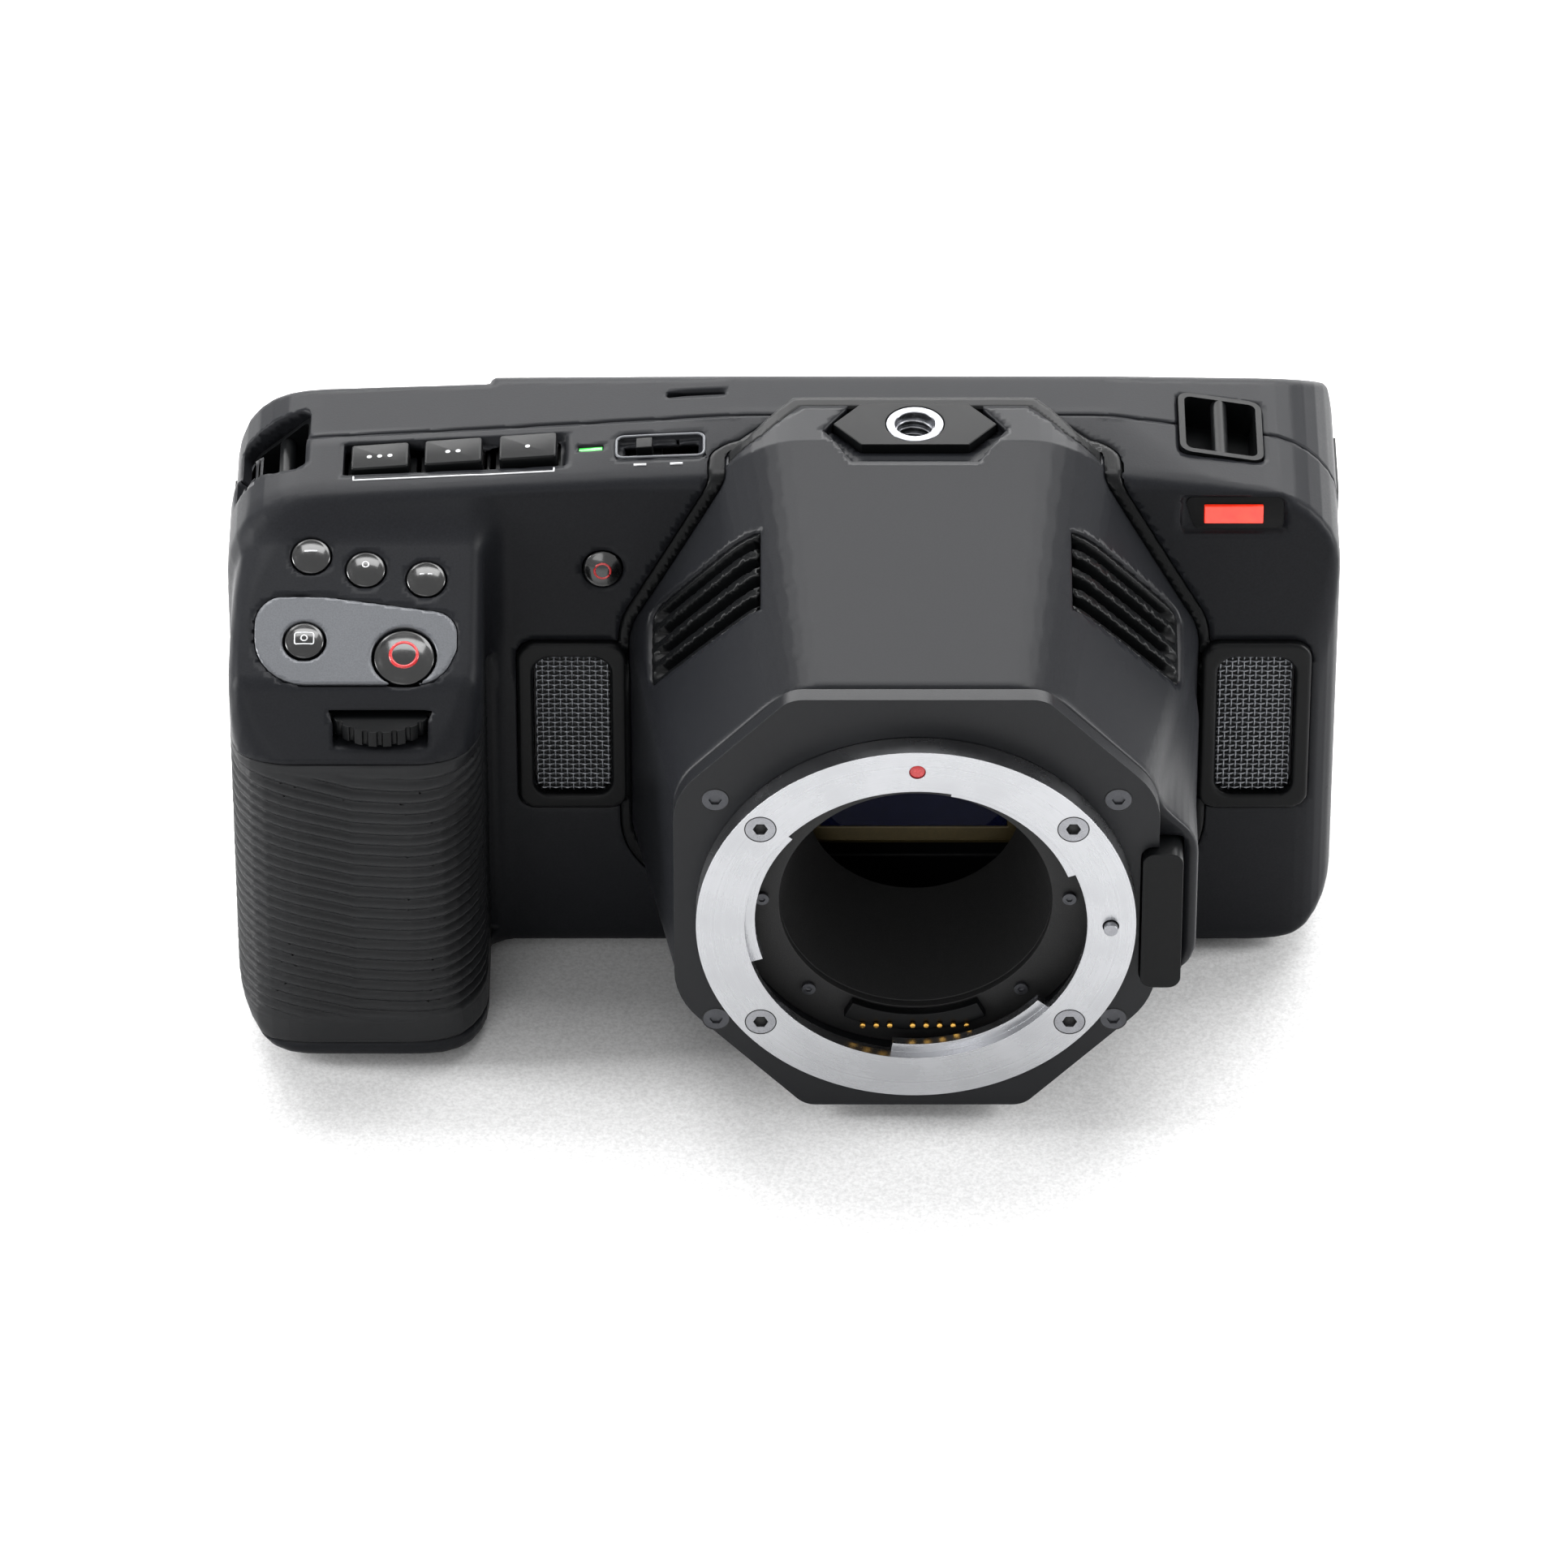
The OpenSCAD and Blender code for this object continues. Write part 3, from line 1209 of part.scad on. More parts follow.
module base_plate(grow) {
    soft_slab(-plate_w / 2 - grow, plate_w / 2 + grow, plate_front_y - grow, plate_back_y + grow,
        -over, base_plate_t + grow, plate_corner);
}
module base_screw_places() {
    for (x = [-base_screw_x, base_screw_x], y = base_screw_ys) translate([x, y, 0]) children();
}
module base_cut() {
    base_plate(seat);
    translate([0, 0, -over]) cylinder(r = boss_r + seat, h = tripod_t + 2 * over, $fn = round_fn);
    base_screw_places() translate([0, 0, -over])
        cylinder(r = base_head_r * hex_share + seat, h = tripod_t + over, $fn = round_fn);
}
module tripod_plate() color([0.3, 0.3, 0.31]) difference() {
    union() {
        intersection() {
            base_plate(0);
            slab(-plate_w, plate_w, -plate_w, plate_w, 0, base_plate_t);
        }
        cylinder(r = boss_r, h = tripod_t, $fn = round_fn);
    }
    translate([0, 0, -over]) cylinder(r = thread_r, h = tripod_t + 2 * over, $fn = round_fn);
    base_screw_places() translate([0, 0, -over]) {
        cylinder(r = base_head_r * hex_share + seat, h = tripod_t, $fn = round_fn);
        cylinder(r = base_head_r + seat, h = over + plate_head_t + seat, $fn = round_fn);
    }
}
module base_screws() color(black_tint)
    base_screw_places() mirror([0, 0, 1])
        socket_screw(base_head_r, plate_head_t, base_shank);

module function_key(i) {
    on_deck(function_xs[i], function_y) key(function_w, function_d, key_h);
}
module function_button_1() color(black_tint) function_key(0);
module function_button_2() color(black_tint) function_key(1);
module function_button_3() color(black_tint) function_key(2);
module power_switch() color(black_tint) on_deck(switch_x - switch_travel / 2, knob_y) {
    slab(-knob_w / 2, knob_w / 2, -knob_w / 2, knob_w / 2, -wall - slack - seat, over);
    slab(-knob_w, knob_w, -knob_w, knob_w, -wall - slack - rim_t, -wall - slack);
}
module small_button(i) {
    on_slope(small_buttons[i][1], small_buttons[i][2]) round_button(button_r);
}
module iso_button() color(black_tint) small_button(0);
module shutter_button() color(black_tint) small_button(1);
module balance_button() color(black_tint) small_button(2);
module still_button() color(black_tint) on_slope(still_at.x, still_at.y) round_button(button_r);
module record_button() color(black_tint) on_slope(record_at.x, record_at.y) round_button(record_r);
module front_record_button() color(black_tint)
    on_wall(front_record_x, front_record_h) round_button(button_r);
module rear_button(i) {
    on_back(rear_x, rear_heights[i]) round_button(button_r);
}
module menu_button() color(black_tint) rear_button(0);
module play_button() color(black_tint) rear_button(1);
module focus_button() color(black_tint) rear_button(2);
module control_dial() color(black_tint) translate([dial_x, dial_y, dial_h - dial_t / 2]) difference() {
    cylinder(r = dial_r, h = dial_t, $fn = 2 * round_fn);
    translate([0, 0, -over]) cylinder(r = stud_r + running, h = dial_t + 2 * over, $fn = round_fn);
    for (i = [0:notch_count - 1]) rotate([0, 0, i * 360 / notch_count]) translate([dial_r, 0, -over])
        cylinder(r = notch_r, h = dial_t + 2 * over, $fn = round_fn / 2);
}

front_casing();
rear_casing();
mount_housing();
trim_frame();
louvre_inserts();
mount_plate();
plate_screws();
bayonet_ring();
ring_screws();
light_trap();
trap_screws();
throat_tube();
contact_block();
contact_pins();
filter_glass();
image_sensor();
sensor_carrier();
heat_sink();
fan_frame();
fan_rotor();
chassis();
main_board();
screen_panel();
screen_glass();
battery_bay();
battery();
battery_door();
card_holder();
card_door();
port_block();
video_sockets();
sound_sockets();
power_socket();
port_flap();
mic_grilles();
tally_lens();
power_light();
finger_rest();
grip_rubber();
strap_lugs();
thread_pad();
thread_insert();
tripod_plate();
base_screws();
lens_release();
lock_pin();
function_button_1();
function_button_2();
function_button_3();
power_switch();
iso_button();
shutter_button();
balance_button();
still_button();
record_button();
front_record_button();
control_dial();
menu_button();
play_button();
focus_button();
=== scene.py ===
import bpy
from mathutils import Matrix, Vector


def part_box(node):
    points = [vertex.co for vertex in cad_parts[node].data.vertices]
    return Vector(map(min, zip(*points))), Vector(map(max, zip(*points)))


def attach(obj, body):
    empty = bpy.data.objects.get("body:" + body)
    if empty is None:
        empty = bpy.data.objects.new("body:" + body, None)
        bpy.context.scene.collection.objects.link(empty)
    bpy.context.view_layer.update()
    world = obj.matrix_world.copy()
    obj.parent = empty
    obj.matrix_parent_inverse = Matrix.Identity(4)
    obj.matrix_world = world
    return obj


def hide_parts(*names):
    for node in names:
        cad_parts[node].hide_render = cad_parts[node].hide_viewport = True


bl_info = {
    "name": "Digital Cinema Camera",
    "version": (1, 0, 0),
    "blender": (4, 5, 0),
    "location": "3D View > Sidebar > Camera",
    "description": "Dresses the CAD frame of a digital cinema camera with moulded shells and fine parts",
    "category": "Object",
}

import math

import bmesh
import bpy
import numpy as np
from bpy.props import FloatProperty, FloatVectorProperty, PointerProperty
from mathutils import Matrix, Vector

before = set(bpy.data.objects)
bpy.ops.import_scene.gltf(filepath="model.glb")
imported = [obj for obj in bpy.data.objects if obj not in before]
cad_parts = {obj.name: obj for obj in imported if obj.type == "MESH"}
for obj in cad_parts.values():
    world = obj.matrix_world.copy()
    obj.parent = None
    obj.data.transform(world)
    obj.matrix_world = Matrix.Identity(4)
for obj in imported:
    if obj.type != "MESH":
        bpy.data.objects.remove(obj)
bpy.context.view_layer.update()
MM = 0.001


def box_mm(node):
    """Lowest and highest corner of a CAD node, in millimetres."""
    low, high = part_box(node)
    return np.array(low) / MM, np.array(high) / MM


# Driving sizes, read from the CAD frame
SHELL_LO, SHELL_HI = box_mm("front_casing")
REAR_LO, REAR_HI = box_mm("rear_casing")
RING_LO, RING_HI = box_mm("bayonet_ring")
PLATE_LO, PLATE_HI = box_mm("mount_plate")
HUMP_LO, HUMP_HI = box_mm("mount_housing")
GLASS_LO, GLASS_HI = box_mm("screen_glass")
GRIP_SIDE = -SHELL_LO[0]
PORT_SIDE = SHELL_HI[0]
GRIP_REACH = -box_mm("grip_rubber")[0][1]
BACK_Y = REAR_HI[1]
DECK_H = SHELL_HI[2]
AXIS_H = (RING_LO[2] + RING_HI[2]) / 2
RING_R = (RING_HI[0] - RING_LO[0]) / 2
FLANGE_Y = RING_LO[1]
HUMP_TOP = HUMP_HI[2]
GAP = 0.1
SLACK = 0.2
WALL = 2.0

# Heights, depths and places that the body's outlines share with the CAD
WALL_Y = 2.3
BEND_H = 56.0
RIDGE = (9.5, 90.5)
SEAM_Y = 25.0
SEAM_GAP = 0.3
DECK_BACK_Y = 35.5
GRIP_BACK_Y = 41.0
SCREEN_SIDE = 68.0
BROW_H = 75.5
FOOT_H = 8.0
GRIP_DECK_H = 86.2
DECK_GRIP_X, DECK_LEFT_X, DECK_RIGHT_X = -94.0, -27.0, 30.0
PORT_DECK_H = 86.0
SLOPE_TOP = (12.0, GRIP_DECK_H)
SLOPE_FOOT = (-19.0, 71.5)
GRIP_INNER_X = -68.5
RUBBER_T = 1.5
RUBBER_H = (5.0, 61.0)
RUBBER_BACK_Y = 14.0
LEAN = math.atan2(RIDGE[0] - WALL_Y, RIDGE[1] - BEND_H)
TILT = math.atan2(DECK_H - GRIP_DECK_H, DECK_LEFT_X - DECK_GRIP_X)
SLOPE = math.atan2(SLOPE_TOP[1] - SLOPE_FOOT[1], SLOPE_TOP[0] - SLOPE_FOOT[0])
KEY_XS = (-61.5, -73.4, -85.1)
KEY_Y = 18.3
SWITCH_AT = (-40.5, 18.0)
SMALL_BUTTONS = {"iso_button": (-95.8, 0.34), "shutter_button": (-87.1, 0.41),
                 "balance_button": (-77.5, 0.46)}
STILL_AT, RECORD_AT = (-96.6, 0.78), (-80.8, 0.86)
BUTTON_R, RECORD_R = 3.1, 4.8
FRONT_RECORD_AT = (-49.7, 75)
TALLY_AT = (50.7, 84.3)
POWER_LIGHT_X = -51.6
MIC_IN, MIC_OUT = 48.6, 61.0
REAR_X = -60.5
REAR_HEIGHTS = (66.0, 52.0, 38.0)
THROAT_R = 27.0
PLATE_SCREW_AT = (31.6, 22.2)
RING_SCREW_AT = (24.5, 19.5)
LOUVRE_WINDOW = [(-19.3, 89.5), (-4, 92.0), (3, 68.7), (-12.0, 64.4)]
LOUVRE_PITCH = 3.75
LOUVRE_X = 24.5
RIB_PITCH = 2.15
RIB_DEPTH = 0.85


# Outlines and places
def arc_corner(before, corner, after, radius, steps):
    """Points of the circle of that radius that touches both edges at a corner of an outline."""
    before, corner, after = (np.array(p, float) for p in (before, corner, after))
    u = (before - corner) / np.linalg.norm(before - corner)
    v = (after - corner) / np.linalg.norm(after - corner)
    half = math.acos(np.clip(u @ v, -1, 1)) / 2
    centre = corner + (u + v) / np.linalg.norm(u + v) * radius / math.sin(half)
    start = corner + u * radius / math.tan(half) - centre
    end = corner + v * radius / math.tan(half) - centre
    turn = math.atan2(start[0] * end[1] - start[1] * end[0], start @ end)
    angle = math.atan2(start[1], start[0]) + turn * np.linspace(0, 1, steps + 1)
    return centre + radius * np.stack([np.cos(angle), np.sin(angle)], 1)


def rounded(points, radii, steps=8):
    """An outline whose corners are arcs of the given radii."""
    count = len(points)
    rows = [
        arc_corner(points[i - 1], points[i], points[(i + 1) % count], radii[i], steps)
        if radii[i] > 0 else np.array([points[i]], float)
        for i in range(count)
    ]
    return np.concatenate(rows)


def rectangle(x0, x1, y0, y1):
    return [(x0, y0), (x1, y0), (x1, y1), (x0, y1)]


def mirrored(right):
    """An outline from its lowest left point round, given its right half from the foot up."""
    left = [(-x, y) for x, y in reversed(right)]
    return left[-1:] + right + left[:-1]


class Place:
    """A spot on the object: its origin in millimetres and its own three axes."""

    def __init__(self, origin, axes=((1, 0, 0), (0, 1, 0), (0, 0, 1))):
        self.origin = np.array(origin, float)
        self.axes = np.array(axes, float)

    def local(self, x, y, z):
        """World coordinates as the place's own coordinates."""
        d = (x - self.origin[0], y - self.origin[1], z - self.origin[2])
        return [sum(a[k] * d[k] for k in range(3)) for a in self.axes]

    def world(self, points):
        return self.origin + np.asarray(points, float) @ self.axes


def deck_at(x):
    return GRIP_DECK_H + (x - DECK_GRIP_X) * math.tan(TILT)


def on_deck(x, y):
    c, s = math.cos(TILT), math.sin(TILT)
    return Place((x, y, deck_at(x)), ((c, 0, s), (0, 1, 0), (-s, 0, c)))


def on_slope(x, share):
    c, s = math.cos(SLOPE), math.sin(SLOPE)
    y = SLOPE_TOP[0] + (SLOPE_FOOT[0] - SLOPE_TOP[0]) * share
    z = SLOPE_TOP[1] + (SLOPE_FOOT[1] - SLOPE_TOP[1]) * share
    return Place((x, y, z), ((1, 0, 0), (0, c, s), (0, -s, c)))


def on_wall(x, h):
    c, s = math.cos(LEAN), math.sin(LEAN)
    return Place((x, WALL_Y + (h - BEND_H) * math.tan(LEAN), h), ((1, 0, 0), (0, s, c), (0, -c, s)))


def on_back(x, y, h):
    return Place((x, y, h), ((1, 0, 0), (0, 0, -1), (0, 1, 0)))


def on_mount(y):
    """The lens axis, looking forwards from the plane Y = y."""
    return Place((0, y, AXIS_H), ((1, 0, 0), (0, 0, 1), (0, -1, 0)))


# Distance fields: negative inside a shape, zero on its surface
def outline_field(u, v, points):
    """Distance to the nearest edge of an outline, negative where a ray from the point crosses it an odd
    number of times."""
    nearest, flips = None, False
    for i in range(len(points)):
        (x0, y0), (x1, y1) = points[i], points[(i + 1) % len(points)]
        ex, ey = x1 - x0, y1 - y0
        wx, wy = u - x0, v - y0
        along = np.clip((wx * ex + wy * ey) / (ex * ex + ey * ey), 0, 1)
        d2 = (wx - ex * along) ** 2 + (wy - ey * along) ** 2
        nearest = d2 if nearest is None else np.minimum(nearest, d2)
        above, below, left = v >= y0, v < y1, ex * wy > ey * wx
        flips = flips ^ ((above & below & left) | ~(above | below | left))
    return np.where(flips, -1, 1) * np.sqrt(nearest)


def meet(a, b, radius=0.0):
    """Where both shapes are, with a rounded edge: the corner is a circle of that radius."""
    if radius == 0:
        return np.maximum(a, b)
    inner = np.minimum(np.maximum(a, b), -radius)
    return inner + np.hypot(np.maximum(a + radius, 0), np.maximum(b + radius, 0))


def join(a, b, radius=0.0):
    """Where either shape is, with a fillet of that radius in the hollow between them."""
    return -meet(-a, -b, radius)


def cut(a, b, radius=0.0):
    """The first shape without the second."""
    return meet(a, -b, radius)


def block_field(p, low, high, corner=0.5):
    """A box with rounded edges, in a place's own coordinates."""
    q = [np.abs(p[k] - (low[k] + high[k]) / 2) - (high[k] - low[k]) / 2 + corner for k in range(3)]
    outside = np.sqrt(sum(np.maximum(a, 0) ** 2 for a in q))
    return outside + np.minimum(np.maximum(np.maximum(q[0], q[1]), q[2]), 0) - corner


def disc_field(p, radius, low, high, corner=0.0):
    """A cylinder along a place's third axis."""
    return meet(np.hypot(p[0], p[1]) - radius, np.abs(p[2] - (low + high) / 2) - (high - low) / 2, corner)


FRONT_VIEW = rounded(
    [(-GRIP_SIDE, 0), (PORT_SIDE, 0), (PORT_SIDE, PORT_DECK_H), (DECK_RIGHT_X, DECK_H),
     (DECK_LEFT_X, DECK_H), (-GRIP_SIDE, GRIP_DECK_H)], (14, 14, 15, 30, 30, 16))
CORE_SIDE = rounded(
    [(WALL_Y, 0), (WALL_Y, BEND_H), RIDGE, (SEAM_Y, DECK_H + 1), (DECK_BACK_Y, DECK_H + 1),
     (GRIP_BACK_Y, DECK_H - 8), (GRIP_BACK_Y, 0)], (4.5, 60, 4, 0, 0, 8, 3))
CORE_PLAN = rounded(rectangle(-GRIP_SIDE, PORT_SIDE, WALL_Y, GRIP_BACK_Y), (8, 8, 4, 4))
SCREEN_SIDE_VIEW = rounded(
    [(SEAM_Y - 2, 0), (BACK_Y - 16, 0), (BACK_Y, FOOT_H), (BACK_Y, BROW_H), (DECK_BACK_Y, DECK_H),
     (SEAM_Y - 2, DECK_H + 1)], (0, 8, 3, 3, 3, 0))
SCREEN_PLAN = rounded(rectangle(-SCREEN_SIDE, PORT_SIDE, SEAM_Y - 2, BACK_Y), (0, 0, 8, 8))
GRIP_SIDE_VIEW = rounded(
    [(2 - GRIP_REACH, 0), (-GRIP_REACH, 30), (-GRIP_REACH, 57), SLOPE_FOOT, SLOPE_TOP,
     (SEAM_Y, GRIP_DECK_H), (SEAM_Y, 0)], (5, 40, 12, 6, 5, 0, 0))
GRIP_PLAN = rounded(rectangle(-GRIP_SIDE, GRIP_INNER_X, -GRIP_REACH, SEAM_Y), (14, 14, 0, 0))


def three_view_field(x, y, z, front, side, plan, edge):
    """The solid that has the three given outlines as its front, side and plan views."""
    solid = outline_field(y, z, side)
    if front is not None:
        solid = meet(outline_field(x, z, front), solid, edge)
    return meet(solid, outline_field(x, y, plan), edge)


def grip_field(x, y, z):
    return three_view_field(x, y, z, FRONT_VIEW, GRIP_SIDE_VIEW, GRIP_PLAN, 3.0)


def body_field(x, y, z):
    core = three_view_field(x, y, z, FRONT_VIEW, CORE_SIDE, CORE_PLAN, 1.6)
    screen = three_view_field(x, y, z, FRONT_VIEW, SCREEN_SIDE_VIEW, SCREEN_PLAN, 1.2)
    return join(join(core, screen, 0.0), grip_field(x, y, z), 4.5)


def wall_depth(x):
    """The wall is 2 mm thick, and grows to 3.5 mm in the grip, where the rubber is let in."""
    share = np.clip((-66.0 - x) / 4.0, 0, 1)
    return WALL + RUBBER_T * share * share * (3 - 2 * share)


HOUSING_Y = PLATE_HI[1] + GAP
BASE_Y = 12.0
PLATE_VIEW = mirrored([(17.5, -40), (38.2, -18), (38.2, 23), (20, 42)])
BASE_VIEW = mirrored([(24, -41), (47, -22), (47, 22), (27, HUMP_TOP - AXIS_H)])
HUMP_PLAN = mirrored([(47, HOUSING_Y - 5), (47, BASE_Y), (27, 17), (19.5, 24.5)])
CROWN_PLAN = mirrored([(60, -60), (60, BASE_Y - 6), (44, BASE_Y - 6), (24.5, 15.5), (18, 21.6)])
LOFT_FRONT = rounded(PLATE_VIEW, (4, 4, 14, 12, 14, 14, 12, 14), 8)
LOFT_BACK = rounded(BASE_VIEW, (6, 6, 14, 10, 17, 17, 10, 14), 8)
BULGE_VIEW = rounded(rectangle(28, 44.5, -17, 17), (0, 8, 8, 0))


def housing_field(x, y, z):
    """A cone between the outline of the mount plate and the outline at the body, the hump behind it, and the
    bulge round the release button."""
    share = np.clip((y - HOUSING_Y) / (BASE_Y - HOUSING_Y), 0, 1)
    outline = [(a[0] + (b[0] - a[0]) * share, a[1] + (b[1] - a[1]) * share)
               for a, b in zip(LOFT_FRONT, LOFT_BACK)]
    cone = outline_field(x, z - AXIS_H, outline) * 0.975
    cone = meet(cone, outline_field(x, y, HUMP_PLAN), 1.0)
    bulge = meet(outline_field(x, z - AXIS_H, BULGE_VIEW), y + 2, 2.0)
    return meet(join(cone, bulge, 4.0), HOUSING_Y - y, 0.8)


# Cuts in the shells, each a distance field
def tray_field(x, y, z):
    inner, outer = 55.5, 91.0
    middle, half = (-inner - outer) / 2, (outer - inner) / 2
    p = on_deck(middle, KEY_Y).local(x, y, z)
    tray = block_field(p, (-half, -4.3, -0.9), (half, 4.3, 3), 0.5)
    for key_x in KEY_XS:
        p = on_deck(key_x, KEY_Y).local(x, y, z)
        tray = np.minimum(tray, block_field(p, (-4.8, -3.4, -6), (4.8, 3.4, 2), 0.4))
    return tray


def switch_slot_field(x, y, z):
    p = on_deck(*SWITCH_AT).local(x, y, z)
    slot = block_field(p, (-7, -3.2, -0.9), (7, 3.2, 3), 0.8)
    slot = np.minimum(slot, block_field(p, (-6, -3.2, -6), (6, 3.2, -1.85), 0.2))
    return np.minimum(slot, block_field(p, (-6, -1.5, -6), (6, 1.5, 2), 0.2))


def light_slot_field(x, y, z):
    return block_field(on_deck(POWER_LIGHT_X, KEY_Y).local(x, y, z), (-2.0, -0.7, -6), (2.0, 0.7, 2), 0.2)


def button_hole_field(place, radius, x, y, z):
    return disc_field(place.local(x, y, z), radius, -6, 3)


def pad_field(x, y, z, grow, low, high):
    """The finger rest: a rounded teardrop in the plane of the slope."""
    run = math.hypot(SLOPE_TOP[0] - SLOPE_FOOT[0], SLOPE_TOP[1] - SLOPE_FOOT[1])
    p = on_slope(0, 0.56).local(x, y, z)
    foot = -0.44 * run
    outline = rounded([(-104.5 - grow, foot - grow), (-75 + grow, foot - grow), (-72.5 + grow, foot + 6),
                       (-72.5 + grow, grow - 2.8), (-97 - grow, grow + 0.8), (-104.5 - grow, grow)],
                      (8, 6, 4, 4, 12, 5))
    return meet(outline_field(p[0], p[1], outline), np.abs(p[2] - (low + high) / 2) - (high - low) / 2, 0.2)


def dial_slot_field(x, y, z):
    p = (x - DIAL_AT[0], y - DIAL_AT[1], z - DIAL_AT[2])
    slot = block_field(p, (-7.5, -20, -2.4), (7.5, 0, 2.4), 0.6)
    return np.minimum(slot, disc_field(p, 9.4, -2.4, 2.4))


def mic_field(x, y, z, grow):
    outline = rounded(rectangle(MIC_IN - grow, MIC_OUT + grow, 32 - grow, 60 + grow), (3, 3, 3, 3))
    return np.maximum(outline_field(np.abs(x), z, outline), np.abs(y - 4) - 5)


def tally_field(x, y, z):
    p = on_wall(*TALLY_AT).local(x, y, z)
    return np.minimum(block_field(p, (-8.5, -3.3, -1), (8.5, 3.3, 3), 1.0),
                      block_field(p, (-4.8, -1.6, -6), (4.8, 1.6, 1), 0.2))


def lug_field(x, y, z, grow):
    found = None
    for place in LUG_PLACES:
        box = block_field(place.local(x, y, z), (-6.8 - grow, -7.9 - grow, -7 - grow),
                          (6.8 + grow, 7.9 + grow, 4), 1.5)
        found = box if found is None else np.minimum(found, box)
    return found


def battery_well_field(x, y, z):
    p = (x - BATTERY_AT[0], y - BATTERY_AT[1], z)
    door = block_field(p, (-10.8, -19.6, -3), (10.8, 19.6, 2.2), 0.3)
    well = block_field(p, (-12, -20.8, 2), (12, 20.8, 5.5), 0.1)
    hinge = block_field((p[0], y - DOOR_HINGE_Y, z - DOOR_HINGE_R), (-10.5, -4.2, -2.8),
                        (10.5, 1.8, 2.8), 0.1)
    return np.minimum(np.minimum(door, well), hinge)


def base_field(x, y, z):
    plate = block_field((x, y - 3, z), (-17.1, -17.1, -3), (17.1, 17.1, 1.4), 0.3)
    return np.minimum(plate, disc_field((x, y, z), 7.1, -3, 8.5))


def tilted(turn_deg, origin):
    """A place whose first axis is turned down by that angle in the XZ plane."""
    a = math.radians(turn_deg)
    return Place(origin, ((math.cos(a), 0, -math.sin(a)), (0, 1, 0), (math.sin(a), 0, math.cos(a))))


LUG_PLACES = (
    tilted(10, (49, 25, PORT_DECK_H + (PORT_SIDE - 49) * math.tan(math.radians(10)))),
    tilted(-42, (-101.3, 25, 81.5)),
)
DIAL_LO, DIAL_HI = box_mm("control_dial")
DIAL_AT = (DIAL_LO + DIAL_HI) / 2
BATTERY_LO, BATTERY_HI = box_mm("battery")
BATTERY_AT = (BATTERY_LO + BATTERY_HI) / 2
DOOR_HINGE_R = 1.4
DOOR_HINGE_Y = box_mm("battery_door")[1][1] - DOOR_HINGE_R


def front_casing_field(x, y, z):
    body = body_field(x, y, z)
    shell = meet(body, y - (SEAM_Y - SEAM_GAP / 2), 0.35)
    rubber = block_field((x, y, z), (-GRIP_SIDE - 9, -GRIP_REACH - 9, RUBBER_H[0] - GAP),
                         (GRIP_INNER_X + 1.5, RUBBER_BACK_Y + GAP, RUBBER_H[1] + GAP), 0.1)
    beside_wall = meet(GRIP_INNER_X - WALL - x, WALL_Y - y)
    rubber = cut(rubber, beside_wall)
    shell = cut(shell, np.maximum(rubber, -(grip_field(x, y, z) + RUBBER_T + GAP)), 0.2)
    shell = cut(shell, body + wall_depth(x), 0.3)
    shell = cut(shell, housing_field(x, y, z) - 2.1, 0.3)
    for opening in (mic_field(x, y, z, 2.7), tray_field(x, y, z), switch_slot_field(x, y, z),
                    light_slot_field(x, y, z), tally_field(x, y, z), lug_field(x, y, z, GAP),
                    pad_field(x, y, z, GAP, -0.9, 4), dial_slot_field(x, y, z),
                    battery_well_field(x, y, z), base_field(x, y, z)):
        shell = cut(shell, opening, 0.35)
    for at in SMALL_BUTTONS.values():
        shell = cut(shell, button_hole_field(on_slope(*at), BUTTON_R + SLACK, x, y, z), 0.4)
    for at, radius in ((STILL_AT, BUTTON_R), (RECORD_AT, RECORD_R)):
        shell = cut(shell, button_hole_field(on_slope(*at), radius + 2 * SLACK, x, y, z), 0.2)
    return cut(shell, button_hole_field(on_wall(*FRONT_RECORD_AT), BUTTON_R + SLACK, x, y, z), 0.4)


def rear_casing_field(x, y, z):
    body = body_field(x, y, z)
    shell = meet(body, SEAM_Y + SEAM_GAP / 2 - y, 0.35)
    shell = cut(shell, body + wall_depth(x), 0.3)
    shell = cut(shell, housing_field(x, y, z) - 2.1, 0.3)
    glass = block_field((x, y, z), (GLASS_LO[0] - GAP, GLASS_LO[1] - GAP, GLASS_LO[2] - GAP),
                        (GLASS_HI[0] + GAP, BACK_Y + 9, GLASS_HI[2] + GAP), 0.3)
    card = block_field((x, y, z), (-GRIP_SIDE - 9, 27.3, 21.8), (-GRIP_SIDE + 2.1, 37.0, 70.2), 0.2)
    ports = block_field((x, y, z), (PORT_SIDE - 3, 27.3, 13.8), (PORT_SIDE + 9, 43.2, 74.2), 0.2)
    speaker = block_field((x, y, z), (-39.6, 30.8, DECK_H - 4), (-30.2, 32.2, DECK_H + 9), 0.4)
    for opening in (glass, card, ports, speaker, lug_field(x, y, z, GAP)):
        shell = cut(shell, opening, 0.35)
    for h in REAR_HEIGHTS:
        hole = disc_field(on_back(REAR_X, BACK_Y, h).local(x, y, z), BUTTON_R + SLACK, -8, 3)
        shell = cut(shell, hole, 0.3)
    for i in range(5):
        vent = np.maximum(np.abs(np.abs(x) - 20) - 8, np.abs(y - 29 - 3 * i) - 0.7)
        shell = cut(shell, np.maximum(vent, z - 3), 0.2)
    return shell


